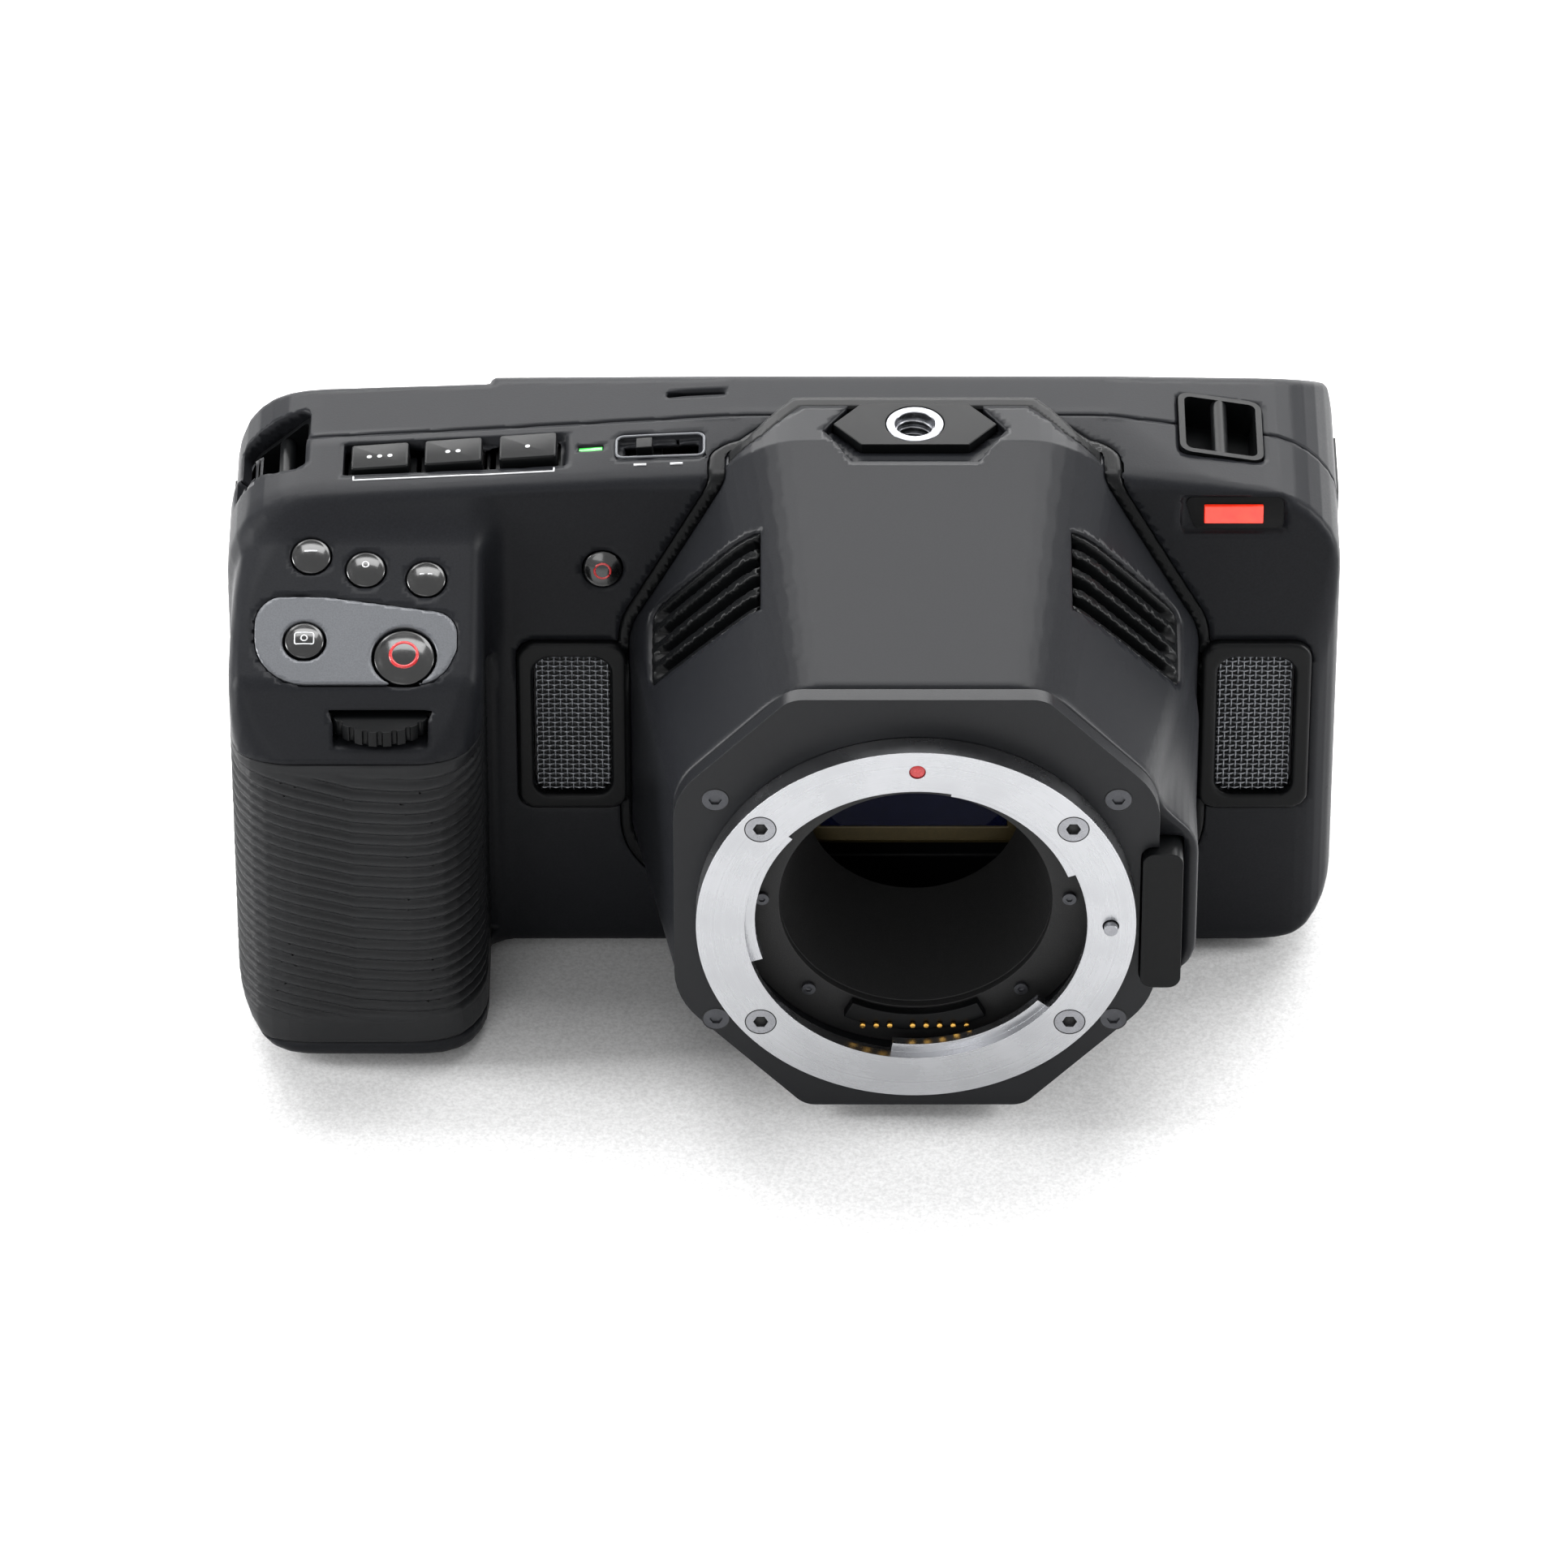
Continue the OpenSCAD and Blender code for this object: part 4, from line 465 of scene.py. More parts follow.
def housing_shell_field(x, y, z):
    outer = housing_field(x, y, z)
    shell = cut(outer, outer + 2.2, 0.3)
    shell = cut(shell, crown_field(x, y, z, 0.0), 0.35)
    mouth = disc_field(on_mount(HOUSING_Y).local(x, y, z), 30, -4, 4)
    window = rounded(LOUVRE_WINDOW, (2.5,) * 4)
    louvres = np.maximum(outline_field(y, z, window), LOUVRE_X - np.abs(x))
    release = block_field((x, y, z - AXIS_H), (35.4, -60, -14.7), (42.2, -27, 12.7), 1.0)
    for opening in (mouth, louvres, release, pad_recess_field(x, y, z), base_field(x, y, z)):
        shell = cut(shell, opening, 0.4)
    for sx in (-1, 1):
        for sz in (-1, 1):
            p = on_mount(HOUSING_Y).local(x - sx * PLATE_SCREW_AT[0], y, z - sz * PLATE_SCREW_AT[1])
            shell = cut(shell, disc_field(p, 1.2, -5, 5))
    return shell


def crown_field(x, y, z, gap):
    """The rearmost 3 mm of the hump, above the deck: this strip belongs to the black band."""
    inner = meet(outline_field(x, y, CROWN_PLAN) + gap, y - 40)
    return np.maximum(-inner, DECK_H - 1 - z)


def pad_recess_field(x, y, z):
    """The chamfered recess of the thread pad, and the wider step in front of it."""
    deep = meet(pad_outline_field(x, y - 16.8, 0.2), HUMP_TOP - 3.2 - z, 0.2)
    wide = meet(pad_outline_field(x, y - 15.2, 1.6), HUMP_TOP - 1.6 - z, 0.2)
    return np.minimum(deep, wide)


def pad_outline_field(u, v, grow):
    w, d, c = 13 + grow, 5.5 + grow, 4.5
    return outline_field(u, v, [(c - w, -d), (w - c, -d), (w, 0), (w - c, d), (c - w, d), (-w, 0)])


def trim_field(x, y, z):
    """The black band between the housing and the casings."""
    body, hump = body_field(x, y, z), housing_field(x, y, z)
    band = meet(hump - 1.95, body - 0.05, 0.5)
    band = cut(band, body + 3.0)
    band = cut(band, hump - GAP, 0.3)
    crown = meet(meet(hump + 0.05, -hump - 2.6), crown_field(x, y, z, 0.25), 0.3)
    band = np.minimum(band, crown)
    frames = cut(mic_field(x, y, z, 2.6), mic_field(x, y, z, 0.0), 0.7)
    frames = meet(frames, np.abs(y - WALL_Y - 1.6) - 1.5, 0.6)
    return cut(np.minimum(band, frames), base_field(x, y, z))


def rubber_field(x, y, z):
    """The grip's skin, with wavy ribs: a sine of height and of the way round the grip, deepest in front."""
    grip = grip_field(x, y, z)
    way = np.where(y < -17, x + 89, np.sign(x + 89) * (20 + y + 17))
    wave = 2.4 * np.sin(way / 13.0) - 0.10 * np.abs(way)
    phase = 2 * math.pi * (z + wave) / RIB_PITCH
    inside = np.clip((z - 9.5) / 2, 0, 1) * np.clip((60.0 - z) / 2, 0, 1)
    ribs = RIB_DEPTH * inside * (0.5 - 0.5 * np.cos(phase)) ** 1.5
    skin = meet(grip + ribs, np.abs(z - 33) - 28, 0.5)
    skin = meet(skin, y - RUBBER_BACK_Y, 0.5)
    skin = cut(skin, grip + RUBBER_T)
    beside_wall = meet(GRIP_INNER_X - WALL - GAP - x, WALL_Y - GAP - y)
    return cut(skin, beside_wall, 0.3)


def finger_rest_field(x, y, z):
    pad = pad_field(x, y, z, 0, -0.8, 0.0)
    pad = cut(pad, button_hole_field(on_slope(*STILL_AT), BUTTON_R + 2 * SLACK, x, y, z), 0.3)
    return cut(pad, button_hole_field(on_slope(*RECORD_AT), RECORD_R + 2 * SLACK, x, y, z), 0.3)


# Meshes
def net_surface(field, low, high, step):
    """The surface where a field is zero. Every grid edge that the surface crosses gives a point and a slope.
    Each cell that such edges bound gets one mesh point, which lies as near as it can to the planes of its
    crossings, so that edges stay sharp. Every crossed grid edge gets the quad of the four cells round it."""
    low = np.array(low, float) - step * 1.5
    counts = np.ceil((np.array(high, float) + step * 1.5 - low) / step).astype(int) + 1
    axes = [low[k] + step * np.arange(counts[k]) for k in range(3)]
    values = field(axes[0][:, None, None], axes[1][None, :, None], axes[2][None, None, :])
    values = np.ascontiguousarray(np.broadcast_to(values, counts))
    inside = values < 0
    shape = counts - 1
    corners = sum(inside[i:shape[0] + i, j:shape[1] + j, k:shape[2] + k].astype(np.int8)
                  for i in (0, 1) for j in (0, 1) for k in (0, 1))
    mixed = (corners > 0) & (corners < 8)
    cells = np.argwhere(mixed)
    index = np.full(shape, -1)
    index[mixed] = np.arange(len(cells))
    sums, quads = np.zeros((len(cells), 13)), []
    for axis in range(3):
        b, c = (axis + 1) % 3, (axis + 2) % 3
        ahead = np.eye(3, dtype=int)[axis]
        turned_inside = np.moveaxis(inside, (axis, b, c), (0, 1, 2))
        spot = np.argwhere(turned_inside[:-1, 1:-1, 1:-1] != turned_inside[1:, 1:-1, 1:-1]) + (0, 1, 1)
        start = np.empty_like(spot)
        start[:, axis], start[:, b], start[:, c] = spot.T
        f0, f1 = values[tuple(start.T)], values[tuple((start + ahead).T)]
        points = low + step * (start + (f0 / (f0 - f1))[:, None] * ahead)
        slope, value = field_slope(field, points)
        size = np.maximum(np.linalg.norm(slope, axis=1), 0.3)[:, None]
        normal = slope / size
        points -= normal * np.clip(value[:, None] / size, -0.5 * step, 0.5 * step)
        reach = (normal * (points - low)).sum(1)
        rows = np.column_stack([normal[:, (0, 0, 0, 1, 1, 2)] * normal[:, (0, 1, 2, 1, 2, 2)],
                                normal * reach[:, None], points - low, np.ones(len(points))])
        ring = []
        for back_b, back_c in ((1, 1), (0, 1), (0, 0), (1, 0)):
            cell = start - back_b * np.eye(3, dtype=int)[b] - back_c * np.eye(3, dtype=int)[c]
            found = index[tuple(cell.T)]
            ring.append(found)
            for k in range(13):
                sums[:, k] += np.bincount(found, rows[:, k], len(cells))
        quad = np.stack(ring, 1)
        outwards = inside[tuple(start.T)]
        quads.append(np.where(outwards[:, None], quad, quad[:, ::-1]))
    hits = np.maximum(sums[:, 12], 1)[:, None]
    middle = sums[:, 9:12] / hits
    pull = 0.03 * hits
    square = sums[:, (0, 1, 2, 1, 3, 4, 2, 4, 5)].reshape(-1, 3, 3) + pull[:, :, None] * np.eye(3)
    solved = np.linalg.solve(square, (sums[:, 6:9] + pull * middle)[:, :, None])[:, :, 0]
    points = low + np.clip(solved, step * (cells - 0.1), step * (cells + 1.1))
    normals, _ = field_slope(field, points, 0.2 * step)
    return points, np.concatenate(quads), normals / np.linalg.norm(normals, axis=1)[:, None]


def field_slope(field, points, reach=0.05):
    """The slope of a field at some points, from values a small way to both sides."""
    x, y, z = points.T
    slope = np.stack([
        field(x + reach, y, z) - field(x - reach, y, z),
        field(x, y + reach, z) - field(x, y - reach, z),
        field(x, y, z + reach) - field(x, y, z - reach),
    ], 1) / (2 * reach)
    return slope, field(x, y, z)


def build_object(name, points, faces, body, material, slot, normals=None, replaces=()):
    """Makes a mesh object from arrays in millimetres, and lets it ride on a CAD body."""
    points = np.asarray(points, float) * MM
    faces = [np.asarray(f) for f in ([faces] if isinstance(faces, np.ndarray) else faces)]
    sizes = np.concatenate([np.full(len(f), f.shape[1]) for f in faces])
    corners = np.concatenate([f.ravel() for f in faces]).astype(np.int32)
    mesh = bpy.data.meshes.new(name)
    mesh.vertices.add(len(points))
    mesh.vertices.foreach_set("co", points.astype(np.float32).ravel())
    mesh.loops.add(len(corners))
    mesh.loops.foreach_set("vertex_index", corners)
    mesh.polygons.add(len(sizes))
    mesh.polygons.foreach_set("loop_start", np.concatenate([[0], np.cumsum(sizes)[:-1]]).astype(np.int32))
    mesh.update(calc_edges=True)
    if normals is None:
        merged = bmesh.new()
        merged.from_mesh(mesh)
        bmesh.ops.remove_doubles(merged, verts=merged.verts, dist=0.001 * MM)
        bmesh.ops.recalc_face_normals(merged, faces=merged.faces)
        merged.to_mesh(mesh)
        merged.free()
    mesh.validate()
    mesh.polygons.foreach_set("use_smooth", np.full(len(mesh.polygons), True))
    if normals is not None:
        mesh.normals_split_custom_set_from_vertices(np.asarray(normals, float).tolist())
    mesh.materials.append(material)
    made = bpy.data.objects.new(name, mesh)
    bpy.context.scene.collection.objects.link(made)
    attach(made, body)
    if replaces:
        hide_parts(*replaces)


def shell_object(name, field, low, high, step, body, material, slot, replaces=()):
    """A moulded piece: the zero surface of its field, within the box of its CAD node."""
    points, quads, normals = net_surface(field, low, high, step)
    points = np.clip(points, np.asarray(low), np.asarray(high))
    build_object(name, points, quads, body, material, slot, normals, replaces)


def turned(profile, turns=64):
    """A profile of (radius, height) turned once round the third axis. Ends on the axis close in a point."""
    profile = np.asarray(profile, float)
    angle = 2 * math.pi * np.arange(turns) / turns
    r, h = profile[:, 0, None], profile[:, 1, None]
    grid = np.stack([r * np.cos(angle), r * np.sin(angle), h + 0 * angle], -1).reshape(-1, 3)
    i = np.arange(len(profile) - 1)[:, None] * turns
    j, k = np.arange(turns)[None, :], (np.arange(turns)[None, :] + 1) % turns
    quads = np.stack([i + j, i + k, i + turns + k, i + turns + j], -1).reshape(-1, 4)
    return grid, quads


def pressed(outline, low, high, edge, steps=3):
    """An outline pushed from one height to another, with rounded rims: at angle t of the rim the outline is
    drawn in by edge * (1 - cos t) and stands edge * (1 - sin t) from the end."""
    outline = np.asarray(outline, float)
    count = len(outline)
    step = np.roll(outline, -1, 0) - np.roll(outline, 1, 0)
    inwards = np.stack([-step[:, 1], step[:, 0]], 1) / np.linalg.norm(step, axis=1)[:, None]
    t = np.linspace(math.pi / 2, 0, steps + 1)
    draw = np.concatenate([edge * (1 - np.cos(t)), edge * (1 - np.cos(t[::-1]))])
    rise = np.concatenate([low + edge * (1 - np.sin(t)), high - edge * (1 - np.sin(t[::-1]))])
    flat = outline[None] + inwards[None] * draw[:, None, None]
    rings = np.concatenate([flat, np.broadcast_to(rise[:, None, None], flat.shape[:2] + (1,))], -1)
    i = np.arange(len(rise) - 1)[:, None] * count
    j, k = np.arange(count)[None, :], (np.arange(count)[None, :] + 1) % count
    quads = np.stack([i + j, i + k, i + count + k, i + count + j], -1).reshape(-1, 4)
    top = (np.arange(count) + (len(rise) - 1) * count)[None]
    foot = np.arange(count)[::-1][None]
    return rings.reshape(-1, 3), [quads, top, foot]


def swept(path, radius, around=8, closed=False):
    """A round wire along a path: circles at right angles to the path's own direction."""
    path = np.asarray(path, float)
    ahead = np.roll(path, -1, 0) - np.roll(path, 1, 0) if closed else np.gradient(path, axis=0)
    ahead = ahead / np.linalg.norm(ahead, axis=1)[:, None]
    up = np.where(np.abs(ahead[:, 2:3]) > 0.9, np.array([[1.0, 0, 0]]), np.array([[0, 0, 1.0]]))
    side = np.cross(ahead, up)
    side = side / np.linalg.norm(side, axis=1)[:, None]
    lift = np.cross(side, ahead)
    angle = 2 * math.pi * np.arange(around) / around
    circle = side[:, None] * np.cos(angle)[None, :, None] + lift[:, None] * np.sin(angle)[None, :, None]
    grid = (path[:, None] + radius * circle).reshape(-1, 3)
    rows = len(path) if closed else len(path) - 1
    i = np.arange(rows)[:, None] * around
    up_row = (np.arange(rows)[:, None] + 1) % len(path) * around
    j, k = np.arange(around)[None, :], (np.arange(around)[None, :] + 1) % around
    faces = [np.stack([i + k, i + j, up_row + j, up_row + k], -1).reshape(-1, 4)]
    if not closed:
        faces.append(np.arange(around)[None])
        faces.append((np.arange(around)[::-1] + (len(path) - 1) * around)[None])
    return grid, faces


def gathered(pieces):
    """Several meshes as one: their points in a row, and their faces shifted to match, by corner count."""
    points, faces, start = [], {}, 0
    for piece_points, piece_faces in pieces:
        for f in ([piece_faces] if isinstance(piece_faces, np.ndarray) else piece_faces):
            faces.setdefault(f.shape[1], []).append(f + start)
        points.append(piece_points)
        start += len(piece_points)
    return np.concatenate(points), [np.concatenate(f) for f in faces.values()]


# Materials
def linear(hex_colour):
    """An sRGB colour written as hex digits, as linear red, green, blue and a full alpha."""
    parts = [int(hex_colour[i:i + 2], 16) / 255 for i in (0, 2, 4)]
    return tuple(c / 12.92 if c <= 0.04045 else ((c + 0.055) / 1.055) ** 2.4 for c in parts) + (1.0,)


def add(tree, kind, wires=None, **settings):
    """Adds one shader node, gives it its settings, and fills its sockets with values or links."""
    made = tree.nodes.new(kind)
    for name, value in settings.items():
        setattr(made, name, value)
    for socket, value in (wires or {}).items():
        if isinstance(value, bpy.types.NodeSocket):
            tree.links.new(value, made.inputs[socket])
        else:
            made.inputs[socket].default_value = value
    return made


def new_material(name):
    material = bpy.data.materials.new(name)
    material.use_nodes = True
    tree = material.node_tree
    tree.nodes.clear()
    shader = add(tree, "ShaderNodeBsdfPrincipled")
    output = add(tree, "ShaderNodeOutputMaterial")
    tree.links.new(shader.outputs[0], output.inputs[0])
    return material, tree, shader


def blended(tree, factor, dark, light):
    """A colour between two, as a socket."""
    mix = add(tree, "ShaderNodeMix", {"Factor": factor}, data_type="RGBA")
    ends = [s for s in mix.inputs if s.type == "RGBA"]
    ends[0].default_value, ends[1].default_value = dark, light
    return next(s for s in mix.outputs if s.type == "RGBA")


def grained(name, dark, light, patch_mm, grain_mm, rough, rough_span, bump, metallic=0.0, ior=1.5, coat=0.0,
            coat_rough=0.1, stretch=(1, 1, 1), level=0.5):
    """A surface with a slow drift of colour over patches, a fine grain in its height and its gloss, and rare
    small scuffs where it is rougher and paler."""
    material, tree, shader = new_material(name)
    where = add(tree, "ShaderNodeTexCoord").outputs["Object"]
    if stretch != (1, 1, 1):
        where = add(tree, "ShaderNodeMapping", {"Vector": where, "Scale": stretch}).outputs[0]
    patch = add(tree, "ShaderNodeTexNoise", {"Vector": where, "Scale": 1 / (patch_mm * MM), "Detail": 4.0,
                                             "Roughness": 0.6})
    grain = add(tree, "ShaderNodeTexNoise", {"Vector": where, "Scale": 1 / (grain_mm * MM), "Detail": 3.0,
                                             "Roughness": 0.65})
    scuff = add(tree, "ShaderNodeTexNoise", {"Vector": where, "Scale": 1 / (7 * MM), "Detail": 8.0,
                                             "Roughness": 0.75})
    scuffed = add(tree, "ShaderNodeMapRange", {"Value": scuff.outputs[0], "From Min": 0.66, "From Max": 0.8,
                                               "To Min": 0.0, "To Max": 0.35})
    mixed = blended(tree, patch.outputs[0], dark, light)
    speck = add(tree, "ShaderNodeMapRange", {"Value": grain.outputs[0], "From Min": 0.3, "From Max": 0.7,
                                             "To Min": 0.86, "To Max": 1.14})
    tinted = add(tree, "ShaderNodeVectorMath", {0: mixed, 1: speck.outputs[0]},
                 operation="MULTIPLY")
    gloss = add(tree, "ShaderNodeMapRange", {"Value": grain.outputs[0], "From Min": 0.3, "From Max": 0.7,
                                             "To Min": rough - rough_span, "To Max": rough + rough_span})
    worn = add(tree, "ShaderNodeMath", {0: gloss.outputs[0], 1: scuffed.outputs[0]}, operation="ADD",
               use_clamp=True)
    height = add(tree, "ShaderNodeBump", {"Height": grain.outputs[0], "Strength": 0.6, "Distance": bump * MM})
    tree.links.new(tinted.outputs[0], shader.inputs["Base Color"])
    tree.links.new(worn.outputs[0], shader.inputs["Roughness"])
    tree.links.new(height.outputs[0], shader.inputs["Normal"])
    shader.inputs["Metallic"].default_value = metallic
    shader.inputs["IOR"].default_value = ior
    shader.inputs["Specular IOR Level"].default_value = level
    shader.inputs["Coat Weight"].default_value = coat
    shader.inputs["Coat Roughness"].default_value = coat_rough
    return material


def turned_steel(name, dark, light, rough, pitch_mm):
    """Stainless steel turned on a lathe: fine rings round the lens axis in its height and its gloss."""
    material, tree, shader = new_material(name)
    where = add(tree, "ShaderNodeTexCoord").outputs["Object"]
    centred = add(tree, "ShaderNodeVectorMath", {0: where, 1: (0, 0, -AXIS_H * MM)}, operation="ADD")
    flat = add(tree, "ShaderNodeVectorMath", {0: centred.outputs[0], 1: (1, 0, 1)}, operation="MULTIPLY")
    reach = add(tree, "ShaderNodeVectorMath", {0: flat.outputs[0]}, operation="LENGTH")
    line = add(tree, "ShaderNodeCombineXYZ", {"X": reach.outputs["Value"]})
    rings = add(tree, "ShaderNodeTexNoise", {"Vector": line.outputs[0], "Scale": 1 / (pitch_mm * MM),
                                             "Detail": 3.0, "Roughness": 0.7})
    smear = add(tree, "ShaderNodeTexNoise", {"Vector": where, "Scale": 1 / (9 * MM), "Detail": 5.0})
    both = add(tree, "ShaderNodeMath", {0: rings.outputs[0], 1: smear.outputs[0]}, operation="ADD")
    tone = add(tree, "ShaderNodeMapRange", {"Value": both.outputs[0], "From Min": 0.7, "From Max": 1.3})
    mixed = blended(tree, tone.outputs[0], dark, light)
    gloss = add(tree, "ShaderNodeMapRange", {"Value": both.outputs[0], "From Min": 0.7, "From Max": 1.3,
                                             "To Min": rough - 0.06, "To Max": rough + 0.08})
    height = add(tree, "ShaderNodeBump", {"Height": rings.outputs[0], "Strength": 0.35,
                                          "Distance": 0.02 * MM})
    tree.links.new(mixed, shader.inputs["Base Color"])
    tree.links.new(gloss.outputs[0], shader.inputs["Roughness"])
    tree.links.new(height.outputs[0], shader.inputs["Normal"])
    shader.inputs["Metallic"].default_value = 1.0
    return material


def lit_window(name, dark, light, glow, power):
    """A tinted lens with a lamp behind it: an even glow over a tint that drifts in small clouds."""
    material, tree, shader = new_material(name)
    where = add(tree, "ShaderNodeTexCoord").outputs["Object"]
    cloud = add(tree, "ShaderNodeTexNoise", {"Vector": where, "Scale": 1 / (2.5 * MM), "Detail": 2.0})
    mixed = blended(tree, cloud.outputs[0], dark, light)
    gloss = add(tree, "ShaderNodeMapRange", {"Value": cloud.outputs[0], "To Min": 0.12, "To Max": 0.3})
    tree.links.new(mixed, shader.inputs["Base Color"])
    tree.links.new(gloss.outputs[0], shader.inputs["Roughness"])
    shader.inputs["Emission Color"].default_value = glow
    shader.inputs["Emission Strength"].default_value = power
    shader.inputs["Coat Weight"].default_value = 0.6
    return material


# What a user may change
def colour_property(name, hex_colour, description):
    return FloatVectorProperty(name=name, subtype="COLOR", size=3, min=0, max=1,
                               default=linear(hex_colour)[:3], description=description)


def length_property(name, millimetres, description):
    return FloatProperty(name=name, unit="LENGTH", default=millimetres * MM, min=0.01 * MM,
                         description=description)


class CameraColours(bpy.types.PropertyGroup):
    shell: colour_property("Shell", "1b1c1f", "Charcoal of the body shells")
    housing: colour_property("Housing", "1a1b1e", "Satin grey of the housing behind the mount")
    black: colour_property("Black", "0c0d0e", "Black plastic of frames, keys and buttons")
    rubber: colour_property("Rubber", "121315", "Rubber of the grip")
    rest: colour_property("Finger rest", "56585c", "Paler satin pad under the index finger")
    steel: colour_property("Steel", "b4b5b8", "Turned steel of the bayonet ring")
    red: colour_property("Red", "c4161c", "Red marks and record rings")
    marks: colour_property("Marks", "d9dadc", "Pale printed marks")
    floor: colour_property("Floor", "f4f4f4", "Pale studio floor")


class CameraSizes(bpy.types.PropertyGroup):
    shell_step: length_property("Shell fineness", 0.8, "Spacing of the points on the shells")
    housing_step: length_property("Housing fineness", 0.8, "Spacing of the points on the housing")
    rubber_step: length_property("Rubber fineness", 0.45, "Spacing of the points on the ribbed rubber")
    trim_step: length_property("Trim fineness", 0.55, "Spacing of the points on the trim and the louvres")
    edge: length_property("Edge rounding", 0.22, "Width of the rounded edges on machined pieces")
    wire_pitch: length_property("Mesh pitch", 0.95, "Spacing of the wires in the microphone mesh")
    wire_radius: length_property("Wire radius", 0.17, "Radius of a wire in the microphone mesh")


def colours():
    return bpy.context.scene.camera_colours


def sizes_mm(name):
    return getattr(bpy.context.scene.camera_sizes, name) / MM


def shade(colour, factor):
    return tuple(min(1.0, c * factor) for c in colour[:3]) + (1.0,)


FINISHES = {}


def finish(name):
    """The named material, made the first time it is asked for."""
    if name not in FINISHES:
        FINISHES[name] = FINISH_MAKERS[name]()
    return FINISHES[name]


def moulded_composite():
    """Glass-filled polycarbonate out of a fine-etched mould: an even satin charcoal with a fine grain."""
    c = colours().shell
    return grained("moulded_composite", shade(c, 0.88), shade(c, 1.12), 24, 0.35, 0.4, 0.05, 0.02, ior=1.5,
                   level=0.1)


def satin_housing():
    """The same plastic under a thin satin paint: smoother, with a softer and wider sheen."""
    c = colours().housing
    return grained("satin_painted_housing", shade(c, 0.92), shade(c, 1.08), 30, 0.3, 0.36, 0.04, 0.012,
                   ior=1.5, level=0.16)


def black_plastic():
    """Black ABS from a matt mould, for frames and sockets."""
    c = colours().black
    return grained("matt_black_abs", shade(c, 0.8), shade(c, 1.25), 12, 0.3, 0.34, 0.05, 0.01, ior=1.53,
                   level=0.11)


def gloss_black():
    """Black acrylic, polished, for the button caps: sharp highlights on a deep black."""
    c = colours().black
    return grained("polished_black_acrylic", shade(c, 0.55), shade(c, 0.8), 8, 0.6, 0.2, 0.05, 0.004,
                   ior=1.49, coat=0.5, coat_rough=0.08)


def black_anodised():
    """Aluminium with a black anodised skin, bead blasted: a dark dry metal gloss."""
    return grained("black_anodised_aluminium", linear("141517"), linear("1b1c1f"), 15, 0.25, 0.4, 0.06, 0.02,
                   ior=1.6, level=0.16)


def flocked_black():
    """Matt black paint against stray light inside the throat."""
    return grained("matt_antireflection_paint", linear("060607"), linear("0d0d0e"), 6, 0.2, 0.7, 0.08, 0.03)


def moulded_rubber():
    """Silicone rubber, moulded with ribs: dark and dry, with a faint sheen."""
    c = colours().rubber
    return grained("moulded_silicone_rubber", shade(c, 0.8), shade(c, 1.2), 18, 0.22, 0.52, 0.07, 0.03,
                   ior=1.43, level=0.36)


def satin_rest():
    """Satin-painted zinc plate under the index finger: mid grey with a metallic sheen."""
    c = colours().rest
    return grained("satin_painted_zinc", shade(c, 0.92), shade(c, 1.08), 14, 0.25, 0.36, 0.04, 0.012,
                   metallic=0.25)


def ring_steel():
    """Stainless steel turned and passivated: pale, with hair-fine rings that smear its highlights."""
    c = colours().steel
    return turned_steel("turned_stainless_steel", shade(c, 0.86), shade(c, 1.04), 0.26, 0.35)


def screw_steel():
    """Nickel-plated steel of the screw heads: greyer than the ring."""
    return grained("nickel_plated_steel", linear("7d7e82"), linear("9c9da1"), 1.5, 0.12, 0.3, 0.06, 0.01,
                   metallic=1.0)


def black_steel():
    """Blackened steel of the dark screws: oil black, with a dull metal gleam at the rims."""
    return grained("blackened_steel", linear("3c3d40"), linear("505155"), 1.5, 0.15, 0.36, 0.08, 0.015,
                   metallic=0.7)


def plated_gold():
    """Gold plating over copper on the contact pins."""
    return grained("gold_plated_copper", linear("d79a3c"), linear("efc36a"), 0.8, 0.1, 0.25, 0.06, 0.004,
                   metallic=1.0)


def carrier_gold():
    """The sensor's ceramic carrier: dull tan with a golden tint."""
    return grained("alumina_ceramic_carrier", linear("3a321d"), linear("554a2c"), 5, 0.3, 0.45, 0.08, 0.01,
                   metallic=0.3)


def coated_glass():
    """The filter's coated glass: navy with a purple cast, and a clear hard reflection."""
    return grained("coated_filter_glass", linear("0b1028"), linear("14162e"), 12, 2.0, 0.08, 0.02, 0.001,
                   ior=1.52, coat=1.0, coat_rough=0.03)


def silicon():
    """The bare sensor: dark iridescent silicon."""
    return grained("sensor_silicon", linear("141a2a"), linear("1d2238"), 6, 0.5, 0.15, 0.04, 0.001,
                   metallic=0.5)


def bare_aluminium():
    """Bare aluminium of the inner plates: pale, milled."""
    return grained("milled_aluminium", linear("9a9c9f"), linear("b4b6b9"), 10, 0.3, 0.36, 0.06, 0.01,
                   metallic=1.0, stretch=(1, 1, 6))


def circuit_board():
    """Lacquered glass-epoxy board: green with a mottle of tracks."""
    return grained("lacquered_epoxy_board", linear("0d3b22"), linear("1a5a35"), 3, 1.2, 0.3, 0.06, 0.03)


def screen_glass_finish():
    """Chemically strengthened cover glass over a dark display: black, mirror smooth, faintly blue."""
    return grained("strengthened_cover_glass", linear("07080b"), linear("0b0c11"), 40, 3.0, 0.06, 0.02,
                   0.0005, ior=1.51, coat=1.0, coat_rough=0.02)


def battery_plastic():
    """The battery's case: dark grey polycarbonate."""
    return grained("battery_polycarbonate", linear("2a2b2e"), linear("34363a"), 10, 0.4, 0.45, 0.06, 0.02)


def mesh_steel():
    """Woven steel wire with a black nickel coat: dark, with a glint on every wire."""
    return grained("black_nickel_wire", linear("6a6c70"), linear("8a8c90"), 3, 0.2, 0.34, 0.08, 0.01,
                   metallic=0.8)


